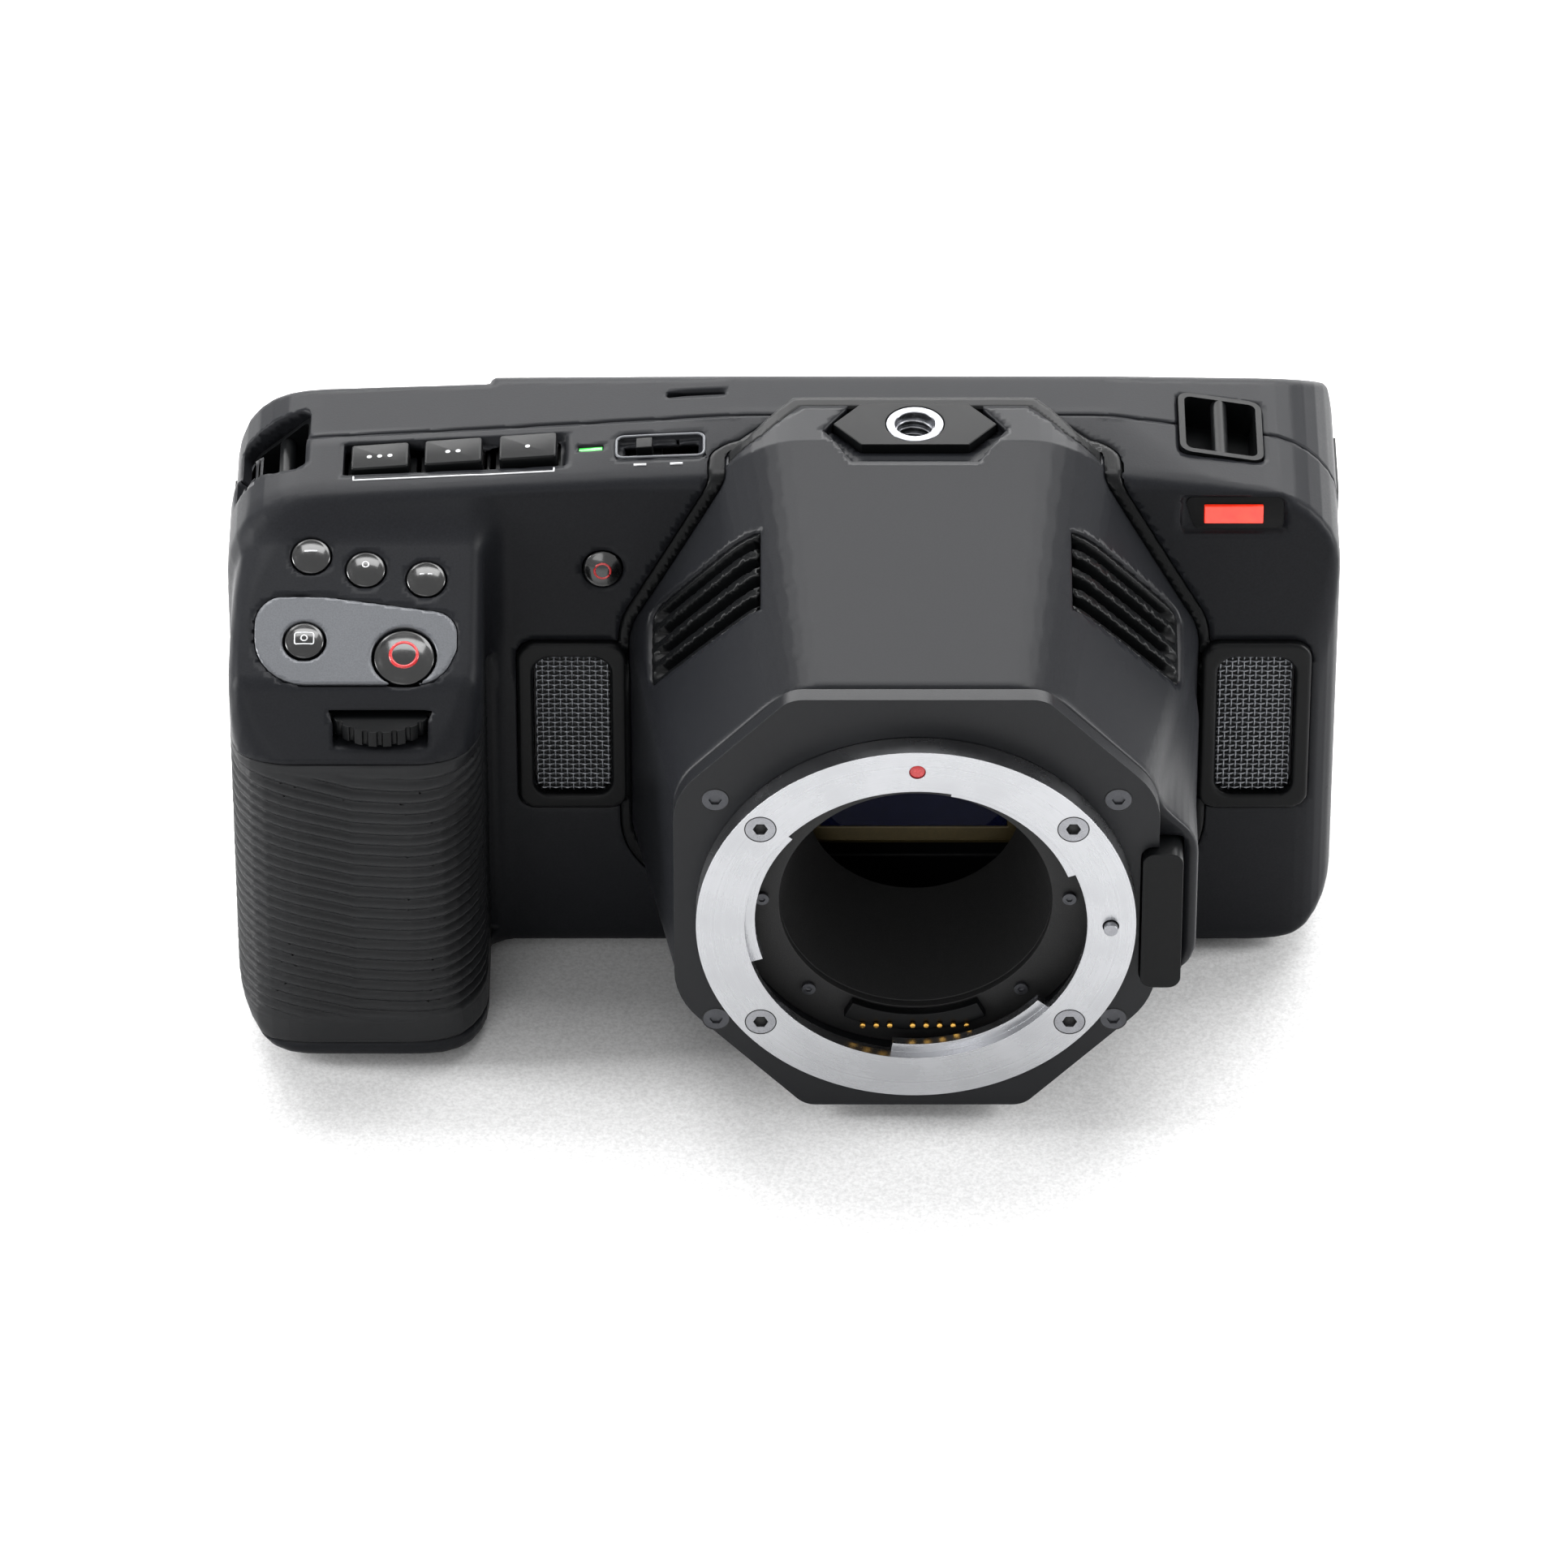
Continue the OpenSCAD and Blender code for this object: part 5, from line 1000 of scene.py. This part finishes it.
def pale_print():
    """Pad-printed ink: flat pale grey, slightly raised."""
    c = colours().marks
    return grained("pad_printed_ink", shade(c, 0.9), shade(c, 1.03), 2, 0.15, 0.5, 0.06, 0.005)


def red_enamel():
    """Fired enamel in the index dimple and the record rings: deep red and glossy."""
    c = colours().red
    return grained("red_enamel", shade(c, 0.85), shade(c, 1.1), 1.5, 0.3, 0.25, 0.05, 0.004, coat=0.5)


def red_window():
    """The tally window, lit from behind: orange red with paler clouds."""
    return lit_window("lit_red_acrylic", linear("c8200f"), linear("ff4a2a"), linear("ff2a12"), 0.55)


def green_window():
    """The power light, lit: fresh green."""
    return lit_window("lit_green_acrylic", linear("1c9a2c"), linear("4fe05a"), linear("2fd040"), 0.6)


FINISH_MAKERS = {
    "shell": moulded_composite, "housing": satin_housing, "black": black_plastic, "gloss": gloss_black,
    "anodised": black_anodised, "dark": flocked_black, "rubber": moulded_rubber, "rest": satin_rest,
    "steel": ring_steel, "screw": screw_steel, "black_screw": black_steel, "gold": plated_gold,
    "carrier": carrier_gold, "filter": coated_glass, "sensor": silicon, "aluminium": bare_aluminium,
    "board": circuit_board, "screen": screen_glass_finish, "battery": battery_plastic, "mesh": mesh_steel,
    "print": pale_print, "red": red_enamel, "red_light": red_window, "green_light": green_window,
}


def dress(nodes, finish_name, edge=None):
    """Gives CAD nodes their finish. Modifiers weld their loose triangles, clear flat joints away and round
    the edges by the given width, so that the edges catch the light."""
    for name in nodes.split():
        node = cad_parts[name]
        node.data.materials.clear()
        node.data.materials.append(finish(finish_name))
        node.data.polygons.foreach_set("use_smooth", np.full(len(node.data.polygons), True))
        weld = node.modifiers.new("weld", "WELD")
        weld.merge_threshold = 0.002 * MM
        flat = node.modifiers.new("flat", "DECIMATE")
        flat.decimate_type = "DISSOLVE"
        flat.angle_limit = math.radians(0.8)
        bevel = node.modifiers.new("edge", "BEVEL")
        bevel.width = (edge if edge is not None else sizes_mm("edge")) * MM
        bevel.segments = 2
        bevel.limit_method = "ANGLE"
        bevel.angle_limit = math.radians(32)
        bevel.use_clamp_overlap = True
        normals = node.modifiers.new("normals", "WEIGHTED_NORMAL")
        normals.keep_sharp = True


class CAMERA_OT_shells(bpy.types.Operator):
    """Front and rear casings as moulded shells"""

    bl_idname = "cinema_camera.shells"
    bl_label = "Body Shells"

    def execute(self, context):
        step = sizes_mm("shell_step")
        shell_object("front_shell", front_casing_field, SHELL_LO, SHELL_HI, step, "camera", finish("shell"),
                     "shell", ("front_casing",))
        shell_object("rear_shell", rear_casing_field, REAR_LO, REAR_HI, step, "camera", finish("shell"),
                     "shell", ("rear_casing",))
        return {"FINISHED"}


def louvre_field(x, y, z):
    """Sloped fins in the flank of the housing: the housing's own form, drawn in, with long slots."""
    top, foot = LOUVRE_WINDOW[0], LOUVRE_WINDOW[3]
    window = rounded(LOUVRE_WINDOW, (2.2,) * 4)
    housing = housing_field(x, y, z)
    frame_gap = outline_field(y, z, window)
    solid = meet(housing + 0.5, frame_gap + GAP, 0.3)
    solid = meet(solid, LOUVRE_X + GAP - np.abs(x))
    across = ((y - foot[0]) * (top[1] - foot[1]) - (z - foot[1]) * (top[0] - foot[0])) / math.hypot(
        top[1] - foot[1], top[0] - foot[0])
    phase = 2 * math.pi * (across - 0.4) / LOUVRE_PITCH
    slot_depth = 2.5 * np.clip(0.5 - 1.3 * np.cos(phase), 0, 1)
    solid = np.maximum(solid, housing + 0.5 + slot_depth * np.clip(-(frame_gap + 0.8), 0, 1))
    return cut(solid, housing + 3.4)


class CAMERA_OT_housing(bpy.types.Operator):
    """Mount housing with its louvres, and the black trim round it"""

    bl_idname = "cinema_camera.housing"
    bl_label = "Mount Housing"

    def execute(self, context):
        step, fine = sizes_mm("housing_step"), sizes_mm("trim_step")
        shell_object("housing_shell", housing_shell_field, HUMP_LO, HUMP_HI, step, "camera",
                     finish("housing"), "housing", ("mount_housing",))
        low, high = box_mm("trim_frame")
        shell_object("trim_band", trim_field, low, np.maximum(high, (0, 0, HUMP_TOP)), fine, "camera",
                     finish("black"), "black", ("trim_frame",))
        low, high = box_mm("louvre_inserts")
        inner = 20.0
        # The fins get the black plastic though they are the housing's grey: painted shade in the recessed
        # flank.
        for name, x0, x1 in (("louvres_left", low[0], -inner), ("louvres_right", inner, high[0])):
            shell_object(name, louvre_field, (x0, low[1], low[2]), (x1, high[1], high[2]), fine, "camera",
                         finish("black"), "black", ("louvre_inserts",))
        return {"FINISHED"}


class CAMERA_OT_grip(bpy.types.Operator):
    """Ribbed rubber of the grip and the finger rest"""

    bl_idname = "cinema_camera.grip"
    bl_label = "Grip"

    def execute(self, context):
        shell_object("ribbed_rubber", rubber_field, *box_mm("grip_rubber"), sizes_mm("rubber_step"), "camera",
                     finish("rubber"), "rubber", ("grip_rubber",))
        shell_object("finger_plate", finger_rest_field, *box_mm("finger_rest"), 0.4, "camera", finish("rest"),
                     "rest", ("finger_rest",))
        return {"FINISHED"}


class CAMERA_OT_mount(bpy.types.Operator):
    """Bayonet ring, mount plate, screws, light trap, throat, contacts and lens release"""

    bl_idname = "cinema_camera.mount"
    bl_label = "Lens Mount"

    def execute(self, context):
        dress("bayonet_ring", "steel", 0.25)
        dress("mount_plate", "anodised", 0.35)
        dress("ring_screws", "screw", 0.12)
        dress("plate_screws base_screws", "black_screw", 0.12)
        dress("trap_screws", "black_screw", 0.08)
        dress("light_trap throat_tube", "dark", 0.2)
        dress("contact_block", "black", 0.2)
        dress("contact_pins", "gold", 0.08)
        dress("lens_release", "black", 0.5)
        self.sockets()
        dress("lock_pin", "screw", 0.15)
        dress("filter_glass", "filter", 0.2)
        dress("image_sensor", "sensor", 0.1)
        dress("sensor_carrier", "carrier", 0.2)
        dot = on_mount(FLANGE_Y + 0.6)
        rise = (THROAT_R + RING_R) / 2
        points, faces = turned([(0, 0.02), (1.25, 0.02), (1.25, 0.35), (1.0, 0.5), (0.5, 0.58), (0, 0.6)], 40)
        build_object("index_dot", dot.world(points + (0, rise, 0)), faces, "camera", finish("red"), "red")
        return {"FINISHED"}

    def sockets(self):
        """Painted shade: a dark disc at the floor of each hexagon socket, and a dark line round each screw
        head for the shadow in its gap.
        """
        pieces = []
        sunk = 0.5
        heads = ((RING_SCREW_AT, FLANGE_Y, 1.15, 2.45), (PLATE_SCREW_AT, PLATE_LO[1], 0.95, 2.15))
        for (x, z), y, floor_r, head_r in heads:
            circle = ring_path(head_r, count=32)[:-1]
            path = np.column_stack([circle, np.full(len(circle), sunk)])
            disc = turned([(0, 0), (floor_r, 0), (floor_r, 0.05), (0, 0.05)], 24)
            points, faces = gathered([disc, swept(path, 0.09, 6, True)])
            for sx in (-1, 1):
                for sz in (-1, 1):
                    pieces.append((on_mount(y + sunk).world(points + (sx * x, sz * z, 0)), faces))
        build_object("socket_shadows", *gathered(pieces), "camera", finish("dark"), "black_screw")


class CAMERA_OT_grilles(bpy.types.Operator):
    """Woven mesh in the two microphone windows"""

    bl_idname = "cinema_camera.grilles"
    bl_label = "Microphone Grilles"

    def execute(self, context):
        low, high = box_mm("mic_grilles")
        pitch, radius = sizes_mm("wire_pitch"), sizes_mm("wire_radius")
        middle_y = low[1] + radius * 1.9
        pieces, backs = [], []
        for side in (-1, 1):
            edges = sorted((side * (MIC_IN + GAP), side * high[0]))
            outline = rounded(rectangle(*edges, low[2], high[2]), (2.9,) * 4, 5)
            back, back_faces = pressed(outline, 0, 0.2, 0.05)
            backs.append((on_mount(high[1]).world(back - (0, AXIS_H, 0)), back_faces))
            xs = np.arange(MIC_IN + pitch / 2, high[0] - pitch / 4, pitch)
            zs = np.arange(low[2] + pitch / 2, high[2] - pitch / 4, pitch)
            along_x = np.arange(MIC_IN + GAP, high[0] - GAP, pitch / 4)
            along_z = np.arange(low[2] + GAP, high[2] - GAP, pitch / 4)
            for row, z in enumerate(zs):
                wave = radius * 0.8 * np.sin(math.pi * (along_x - xs[0]) / pitch + math.pi * (row + 0.5))
                path = np.stack([side * along_x, middle_y + wave, 0 * wave + z], 1)
                pieces.append(swept(path, radius, 5))
            for column, x in enumerate(xs):
                wave = radius * 0.8 * np.sin(math.pi * (along_z - zs[0]) / pitch + math.pi * (column - 0.5))
                path = np.stack([0 * wave + side * x, middle_y + wave, along_z], 1)
                pieces.append(swept(path, radius, 5))
        points, faces = gathered(pieces)
        points = np.clip(points, low, high)
        build_object("woven_mesh", points, faces, "camera", finish("mesh"), "mesh", replaces=("mic_grilles",))
        build_object("mesh_backing", *gathered(backs), "camera", finish("dark"), "mesh",
                     replaces=("mic_grilles",))
        return {"FINISHED"}


DOME_H = 0.9
STEM_H = 2.2
FLANGE_T, FLANGE_W = 0.8, 0.9
RECORD_PLACE = on_slope(*RECORD_AT)
FRONT_RECORD_PLACE = on_wall(*FRONT_RECORD_AT)
MARK_SLOTS = {"red": "red", "rest": "rest"}


def domed(radius, height=DOME_H):
    """Height of a button's dome: a sphere of twice the button's radius, whose top stands that high."""
    return lambda x, y: height - 2 * radius + np.sqrt(4 * radius ** 2 - x ** 2 - y ** 2)


def button_profile(radius, edge=0.3, foot=-STEM_H):
    """Half a round button: flange, stem, an edge of a quarter circle, and the dome."""
    dome = domed(radius)
    side = dome(radius - edge, 0) - edge
    t = np.linspace(0, math.pi / 2, 5)
    reach = np.linspace(radius - edge, 0, 10)[1:]
    rim = [(radius - edge + edge * math.cos(a), side + edge * math.sin(a)) for a in t]
    outer = radius + FLANGE_W
    return ([(0, foot - FLANGE_T), (outer, foot - FLANGE_T), (outer, foot), (radius, foot)] + rim
            + [(r, float(dome(r, 0))) for r in reach])


def round_button(node, place, radius):
    points, faces = turned(button_profile(radius))
    build_object(node + "_cap", place.world(points), faces, node, finish("gloss"), "black", replaces=(node,))


def inked(name, place, paths, width, body, colour="print", height=None, field=None):
    """Thin raised lines along paths in a place's plane, on a height over it or on a field's surface."""
    pieces = []
    for path in paths:
        path = np.asarray(path, float)
        closed = bool(np.allclose(path[0], path[-1]))
        legs = [a + (b - a) * np.linspace(0, 1, max(2, int(np.linalg.norm(b - a) / 0.8) + 1))[:-1, None]
                for a, b in zip(path[:-1], path[1:])]
        flat = np.concatenate(legs + ([] if closed else [path[-1:]]))
        lift = height(flat[:, 0], flat[:, 1]) if height else 0 * flat[:, 0]
        points = place.world(np.column_stack([flat, lift]))
        if field:
            for _ in range(4):
                slope, value = field_slope(field, points)
                points -= value[:, None] * slope / (slope ** 2).sum(1)[:, None]
        pieces.append(swept(points, width / 2, 6, closed))
    build_object(name, *gathered(pieces), body, finish(colour), MARK_SLOTS.get(colour))


def ring_path(radius, x=0.0, y=0.0, count=24):
    t = 2 * math.pi * np.arange(count + 1) / count
    return np.stack([x + radius * np.cos(t), y + radius * np.sin(t)], 1)


def frame_path(x0, x1, y0, y1, radius, steps=4):
    outline = rounded(rectangle(x0, x1, y0, y1), (radius,) * 4, steps)
    return np.concatenate([outline, outline[:1]])


class CAMERA_OT_buttons(bpy.types.Operator):
    """Round buttons with their marks, function keys with their dots, the switch and the dial"""

    bl_idname = "cinema_camera.buttons"
    bl_label = "Buttons and Keys"

    def execute(self, context):
        for node, at in SMALL_BUTTONS.items():
            round_button(node, on_slope(*at), BUTTON_R)
        round_button("still_button", on_slope(*STILL_AT), BUTTON_R)
        round_button("record_button", RECORD_PLACE, RECORD_R)
        round_button("front_record_button", FRONT_RECORD_PLACE, BUTTON_R)
        for node, h in zip(("menu_button", "play_button", "focus_button"), REAR_HEIGHTS):
            round_button(node, on_back(REAR_X, BACK_Y - DOME_H, h), BUTTON_R)
        cap = domed(BUTTON_R)
        inked("iso_mark", on_slope(*SMALL_BUTTONS["iso_button"]), [[(-1, 0.5), (1, 0.5)]], 0.3, "iso_button",
              height=cap)
        inked("shutter_mark", on_slope(*SMALL_BUTTONS["shutter_button"]), [ring_path(0.5, 0, 0.5, 12)], 0.25,
              "shutter_button", height=cap)
        inked("balance_mark", on_slope(*SMALL_BUTTONS["balance_button"]),
              [[(-1.0, 0.5), (-0.3, 0.5)], [(0.3, 0.5), (1.0, 0.5)]], 0.3, "balance_button", height=cap)
        inked("still_mark", on_slope(*STILL_AT),
              [frame_path(-1.5, 1.5, -0.9, 1.1, 0.3), ring_path(0.5, 0, 0.1, 12)], 0.22, "still_button",
              height=cap)
        inked("record_ring", RECORD_PLACE, [ring_path(2.1, 0, 0, 40)], 0.7, "record_button", "red",
              height=domed(RECORD_R, DOME_H - 0.18))
        inked("front_record_ring", FRONT_RECORD_PLACE, [ring_path(1.25, 0, 0, 32)], 0.45,
              "front_record_button", "red", height=domed(BUTTON_R, DOME_H - 0.1))
        self.keys()
        dress("power_switch control_dial", "black", 0.15)
        return {"FINISHED"}

    def keys(self):
        half_w, half_d, top, foot = 4.6, 3.2, 1.7, -2.3
        body_outline = rounded(rectangle(-half_w, half_w, -half_d, half_d), (0.6,) * 4, 4)
        flange_outline = rounded(rectangle(-half_w - FLANGE_W, half_w + FLANGE_W, -half_d - FLANGE_W,
                                           half_d + FLANGE_W), (0.3,) * 4, 2)
        for i, key_x in enumerate(KEY_XS):
            node = f"function_button_{i + 1}"
            place = on_deck(key_x, KEY_Y)
            cap = pressed(body_outline, foot, top, 0.35)
            flange = pressed(flange_outline, foot - 0.7, foot + 0.1, 0.1)
            points, faces = gathered([cap, flange])
            build_object(node + "_cap", place.world(points), faces, node, finish("black"), "black",
                         replaces=(node,))
            dots = []
            for k in range(i + 1):
                dot, dot_faces = turned([(0, 0), (0.42, 0), (0.4, 0.05), (0.3, 0.1), (0, 0.12)], 16)
                dots.append((dot + ((k - i / 2) * 1.65, -0.2, top - 0.05), dot_faces))
            points, faces = gathered(dots)
            build_object(node + "_dots", place.world(points), faces, node, finish("print"), None)


class CAMERA_OT_marks(bpy.types.Operator):
    """Printed lines on the deck, and a pale line round the switch slot painted as the highlight on its rim"""

    bl_idname = "cinema_camera.marks"
    bl_label = "Deck Marks"

    def execute(self, context):
        deck = on_deck((KEY_XS[0] + KEY_XS[2]) / 2, 12.6)
        inked("key_bracket", deck, [[(-16, 0.9), (-16, 0), (16, 0), (16, 0.9)]], 0.3, "camera",
              field=body_field)
        switch = on_deck(*SWITCH_AT)
        inked("switch_marks", switch, [[(-4.2, -4.6), (-2.2, -4.6)], [(1.6, -4.6), (3.6, -4.6)]], 0.45,
              "camera", field=body_field)
        # A pale line round the switch slot, in the finger rest's grey: painted highlight on the slot's rim.
        inked("switch_rim_painted_highlight", switch, [frame_path(-7.0, 7.0, -2.7, 2.7, 1.2, 6)], 0.5, "camera", "rest",
              field=body_field)
        return {"FINISHED"}


class CAMERA_OT_fittings(bpy.types.Operator):
    """Strap lugs, thread pad and insert with its thread, tripod plate, lights, doors and flap"""

    bl_idname = "cinema_camera.fittings"
    bl_label = "Outer Fittings"

    def execute(self, context):
        dress("strap_lugs", "black", 0.3)
        dress("thread_pad", "black", 0.5)
        dress("tripod_plate", "anodised", 0.3)
        dress("thread_insert", "screw", 0.2)
        dress("battery_door card_door", "shell", 0.3)
        dress("port_flap", "rubber", 0.4)
        dress("tally_lens", "red_light", 0.15)
        dress("power_light", "green_light", 0.1)
        # A thin black sheet on the floor of the tally recess: painted shade that darkens the recess.
        bezel = rounded([(-8.0, 2.8), (-6.2, -2.8), (8.0, -2.8), (8.0, 2.8)], (1.2,) * 4, 5)
        points, faces = pressed(bezel, -1.0, -0.8, 0.05)
        build_object("tally_recess_painted_shade", on_wall(*TALLY_AT).world(points), faces, "camera", finish("black"),
                     "black")
        low, high = box_mm("thread_insert")
        middle = (low + high) / 2
        pitch, bore, turns = 1.27, 3.05, 3
        t = 2 * math.pi * np.linspace(0, turns, 24 * turns + 1)
        path = np.stack([bore * np.cos(t), bore * np.sin(t), t / (2 * math.pi) * pitch], 1)
        points, faces = swept(path, 0.3, 6)
        foot = high[2] - 0.7 - turns * pitch
        build_object("thread_turns", points + (middle[0], middle[1], foot), faces, "camera", finish("screw"),
                     "steel")
        return {"FINISHED"}


class CAMERA_OT_insides(bpy.types.Operator):
    """Chassis, board, cooling, screen, battery, card holder and sockets"""

    bl_idname = "cinema_camera.insides"
    bl_label = "Insides"

    def execute(self, context):
        dress("chassis heat_sink card_holder screen_panel", "aluminium", 0.15)
        dress("main_board", "board", 0.1)
        dress("fan_frame fan_rotor battery_bay port_block sound_sockets", "black", 0.15)
        dress("video_sockets power_socket", "screw", 0.15)
        dress("screen_glass", "screen", 0.3)
        dress("battery", "battery", 0.5)
        return {"FINISHED"}


# Stage
PHOTO_TARGET = np.array([-20.8, -30.1, 60.1])
PHOTO_DISTANCE = 1750.0
PHOTO_ELEVATION = math.radians(38.3)
PHOTO_LENS = 255.0


def aim(thing, spot_mm, target_mm):
    """Puts a lamp or camera at a spot and points its third axis away from the target."""
    spot, target = Vector(spot_mm) * MM, Vector(target_mm) * MM
    thing.location = spot
    thing.rotation_euler = (spot - target).to_track_quat("Z", "Y").to_euler()


def softbox(name, spot, size, watts):
    lamp = bpy.data.lights.new(name, "AREA")
    lamp.shape = "RECTANGLE"
    lamp.size, lamp.size_y = size[0] * MM, size[1] * MM
    lamp.energy = watts
    made = bpy.data.objects.new(name, lamp)
    bpy.context.scene.collection.objects.link(made)
    aim(made, spot, (-20, 0, 45))


class CAMERA_OT_stage(bpy.types.Operator):
    """Pale floor, soft lamps and the camera of the photograph"""

    bl_idname = "cinema_camera.stage"
    bl_label = "Studio"

    def execute(self, context):
        self.floor()
        self.world()
        softbox("top_softbox", (0, 600, 1400), (1500, 700), 24)
        softbox("left_softbox", (-1500, 0, 450), (400, 1300), 32)
        softbox("right_softbox", (1500, 100, 500), (400, 1300), 26)
        softbox("front_softbox", (-500, -1500, 900), (900, 500), 5)
        softbox("back_softbox", (0, 1400, 800), (2200, 500), 34)
        camera = bpy.data.cameras.new("photo_camera")
        camera.lens, camera.sensor_width = PHOTO_LENS, 36.0
        camera.clip_end = 20
        made = bpy.data.objects.new("photo_camera", camera)
        bpy.context.scene.collection.objects.link(made)
        way = np.array([0, -math.cos(PHOTO_ELEVATION), math.sin(PHOTO_ELEVATION)])
        aim(made, PHOTO_TARGET + PHOTO_DISTANCE * way, PHOTO_TARGET)
        bpy.context.scene.camera = made
        bpy.context.scene.view_settings.view_transform = "Standard"
        return {"FINISHED"}

    def floor(self):
        """A wide sheet: flat to a line behind the object, then rising as a quarter circle into a wall."""
        radius, back = 900.0, 1600.0
        t = np.linspace(0, math.pi / 2, 13)
        rise = [(back + radius * math.sin(a), radius * (1 - math.cos(a))) for a in t]
        line = np.array([(-4000.0, 0.0), (0.0, 0.0)] + rise + [(back + radius, 4000.0)])
        xs = np.linspace(-4500, 4500, 7)
        grid = np.array([[(x, y, z - 0.2) for x in xs] for y, z in line])
        n = len(xs)
        i, j = np.arange(len(line) - 1)[:, None] * n, np.arange(n - 1)[None, :]
        quads = np.stack([i + j, i + j + 1, i + n + j + 1, i + n + j], -1).reshape(-1, 4)
        mesh = bpy.data.meshes.new("studio_floor")
        mesh.from_pydata((grid.reshape(-1, 3) * MM).tolist(), [], quads.tolist())
        mesh.polygons.foreach_set("use_smooth", np.full(len(mesh.polygons), True))
        colour = colours().floor
        material = grained("pale_paper", shade(colour, 0.97), shade(colour, 1.0), 180, 0.6, 0.75, 0.05, 0.01)
        mesh.materials.append(material)
        made = bpy.data.objects.new("studio_floor", mesh)
        bpy.context.scene.collection.objects.link(made)

    def world(self):
        """White for what the camera sees, also in metal and through glass, and a soft grey for the light."""
        world = bpy.data.worlds.new("studio_world")
        world.use_nodes = True
        tree = world.node_tree
        tree.nodes.clear()
        path = add(tree, "ShaderNodeLightPath")
        soft = add(tree, "ShaderNodeBackground", {"Color": (1, 1, 1, 1), "Strength": 0.35})
        white = add(tree, "ShaderNodeBackground", {"Color": (1, 1, 1, 1), "Strength": 1.0})
        mirrored = add(tree, "ShaderNodeMath", {0: path.outputs["Is Glossy Ray"],
                                                1: path.outputs["Is Transmission Ray"]}, operation="MAXIMUM")
        seen = add(tree, "ShaderNodeMath", {0: path.outputs["Is Camera Ray"], 1: mirrored.outputs[0]},
                   operation="MAXIMUM")
        both = add(tree, "ShaderNodeMixShader", {0: seen.outputs[0], 1: soft.outputs[0], 2: white.outputs[0]})
        add(tree, "ShaderNodeOutputWorld", {"Surface": both.outputs[0]})
        bpy.context.scene.world = world


class CAMERA_PT_panel(bpy.types.Panel):
    """The steps that build the camera's look, with its colours and sizes"""

    bl_label = "Digital Cinema Camera"
    bl_idname = "CAMERA_PT_panel"
    bl_space_type = "VIEW_3D"
    bl_region_type = "UI"
    bl_category = "Camera"

    def draw(self, context):
        layout = self.layout
        for group in (context.scene.camera_colours, context.scene.camera_sizes):
            box = layout.box()
            for name in group.__annotations__:
                box.prop(group, name)
        for operator in OPERATORS:
            layout.operator(operator.bl_idname)


OPERATORS = (CAMERA_OT_shells, CAMERA_OT_housing, CAMERA_OT_grip, CAMERA_OT_mount, CAMERA_OT_grilles,
             CAMERA_OT_buttons, CAMERA_OT_marks, CAMERA_OT_fittings, CAMERA_OT_insides, CAMERA_OT_stage)
CLASSES = (CameraColours, CameraSizes) + OPERATORS + (CAMERA_PT_panel,)


def register():
    for cls in CLASSES:
        bpy.utils.register_class(cls)
    bpy.types.Scene.camera_colours = PointerProperty(type=CameraColours)
    bpy.types.Scene.camera_sizes = PointerProperty(type=CameraSizes)


def unregister():
    del bpy.types.Scene.camera_sizes
    del bpy.types.Scene.camera_colours
    for cls in reversed(CLASSES):
        bpy.utils.unregister_class(cls)


def main():
    register()
    for operator in OPERATORS:
        family, name = operator.bl_idname.split(".")
        getattr(getattr(bpy.ops, family), name)()


if __name__ == "__main__":
    main()
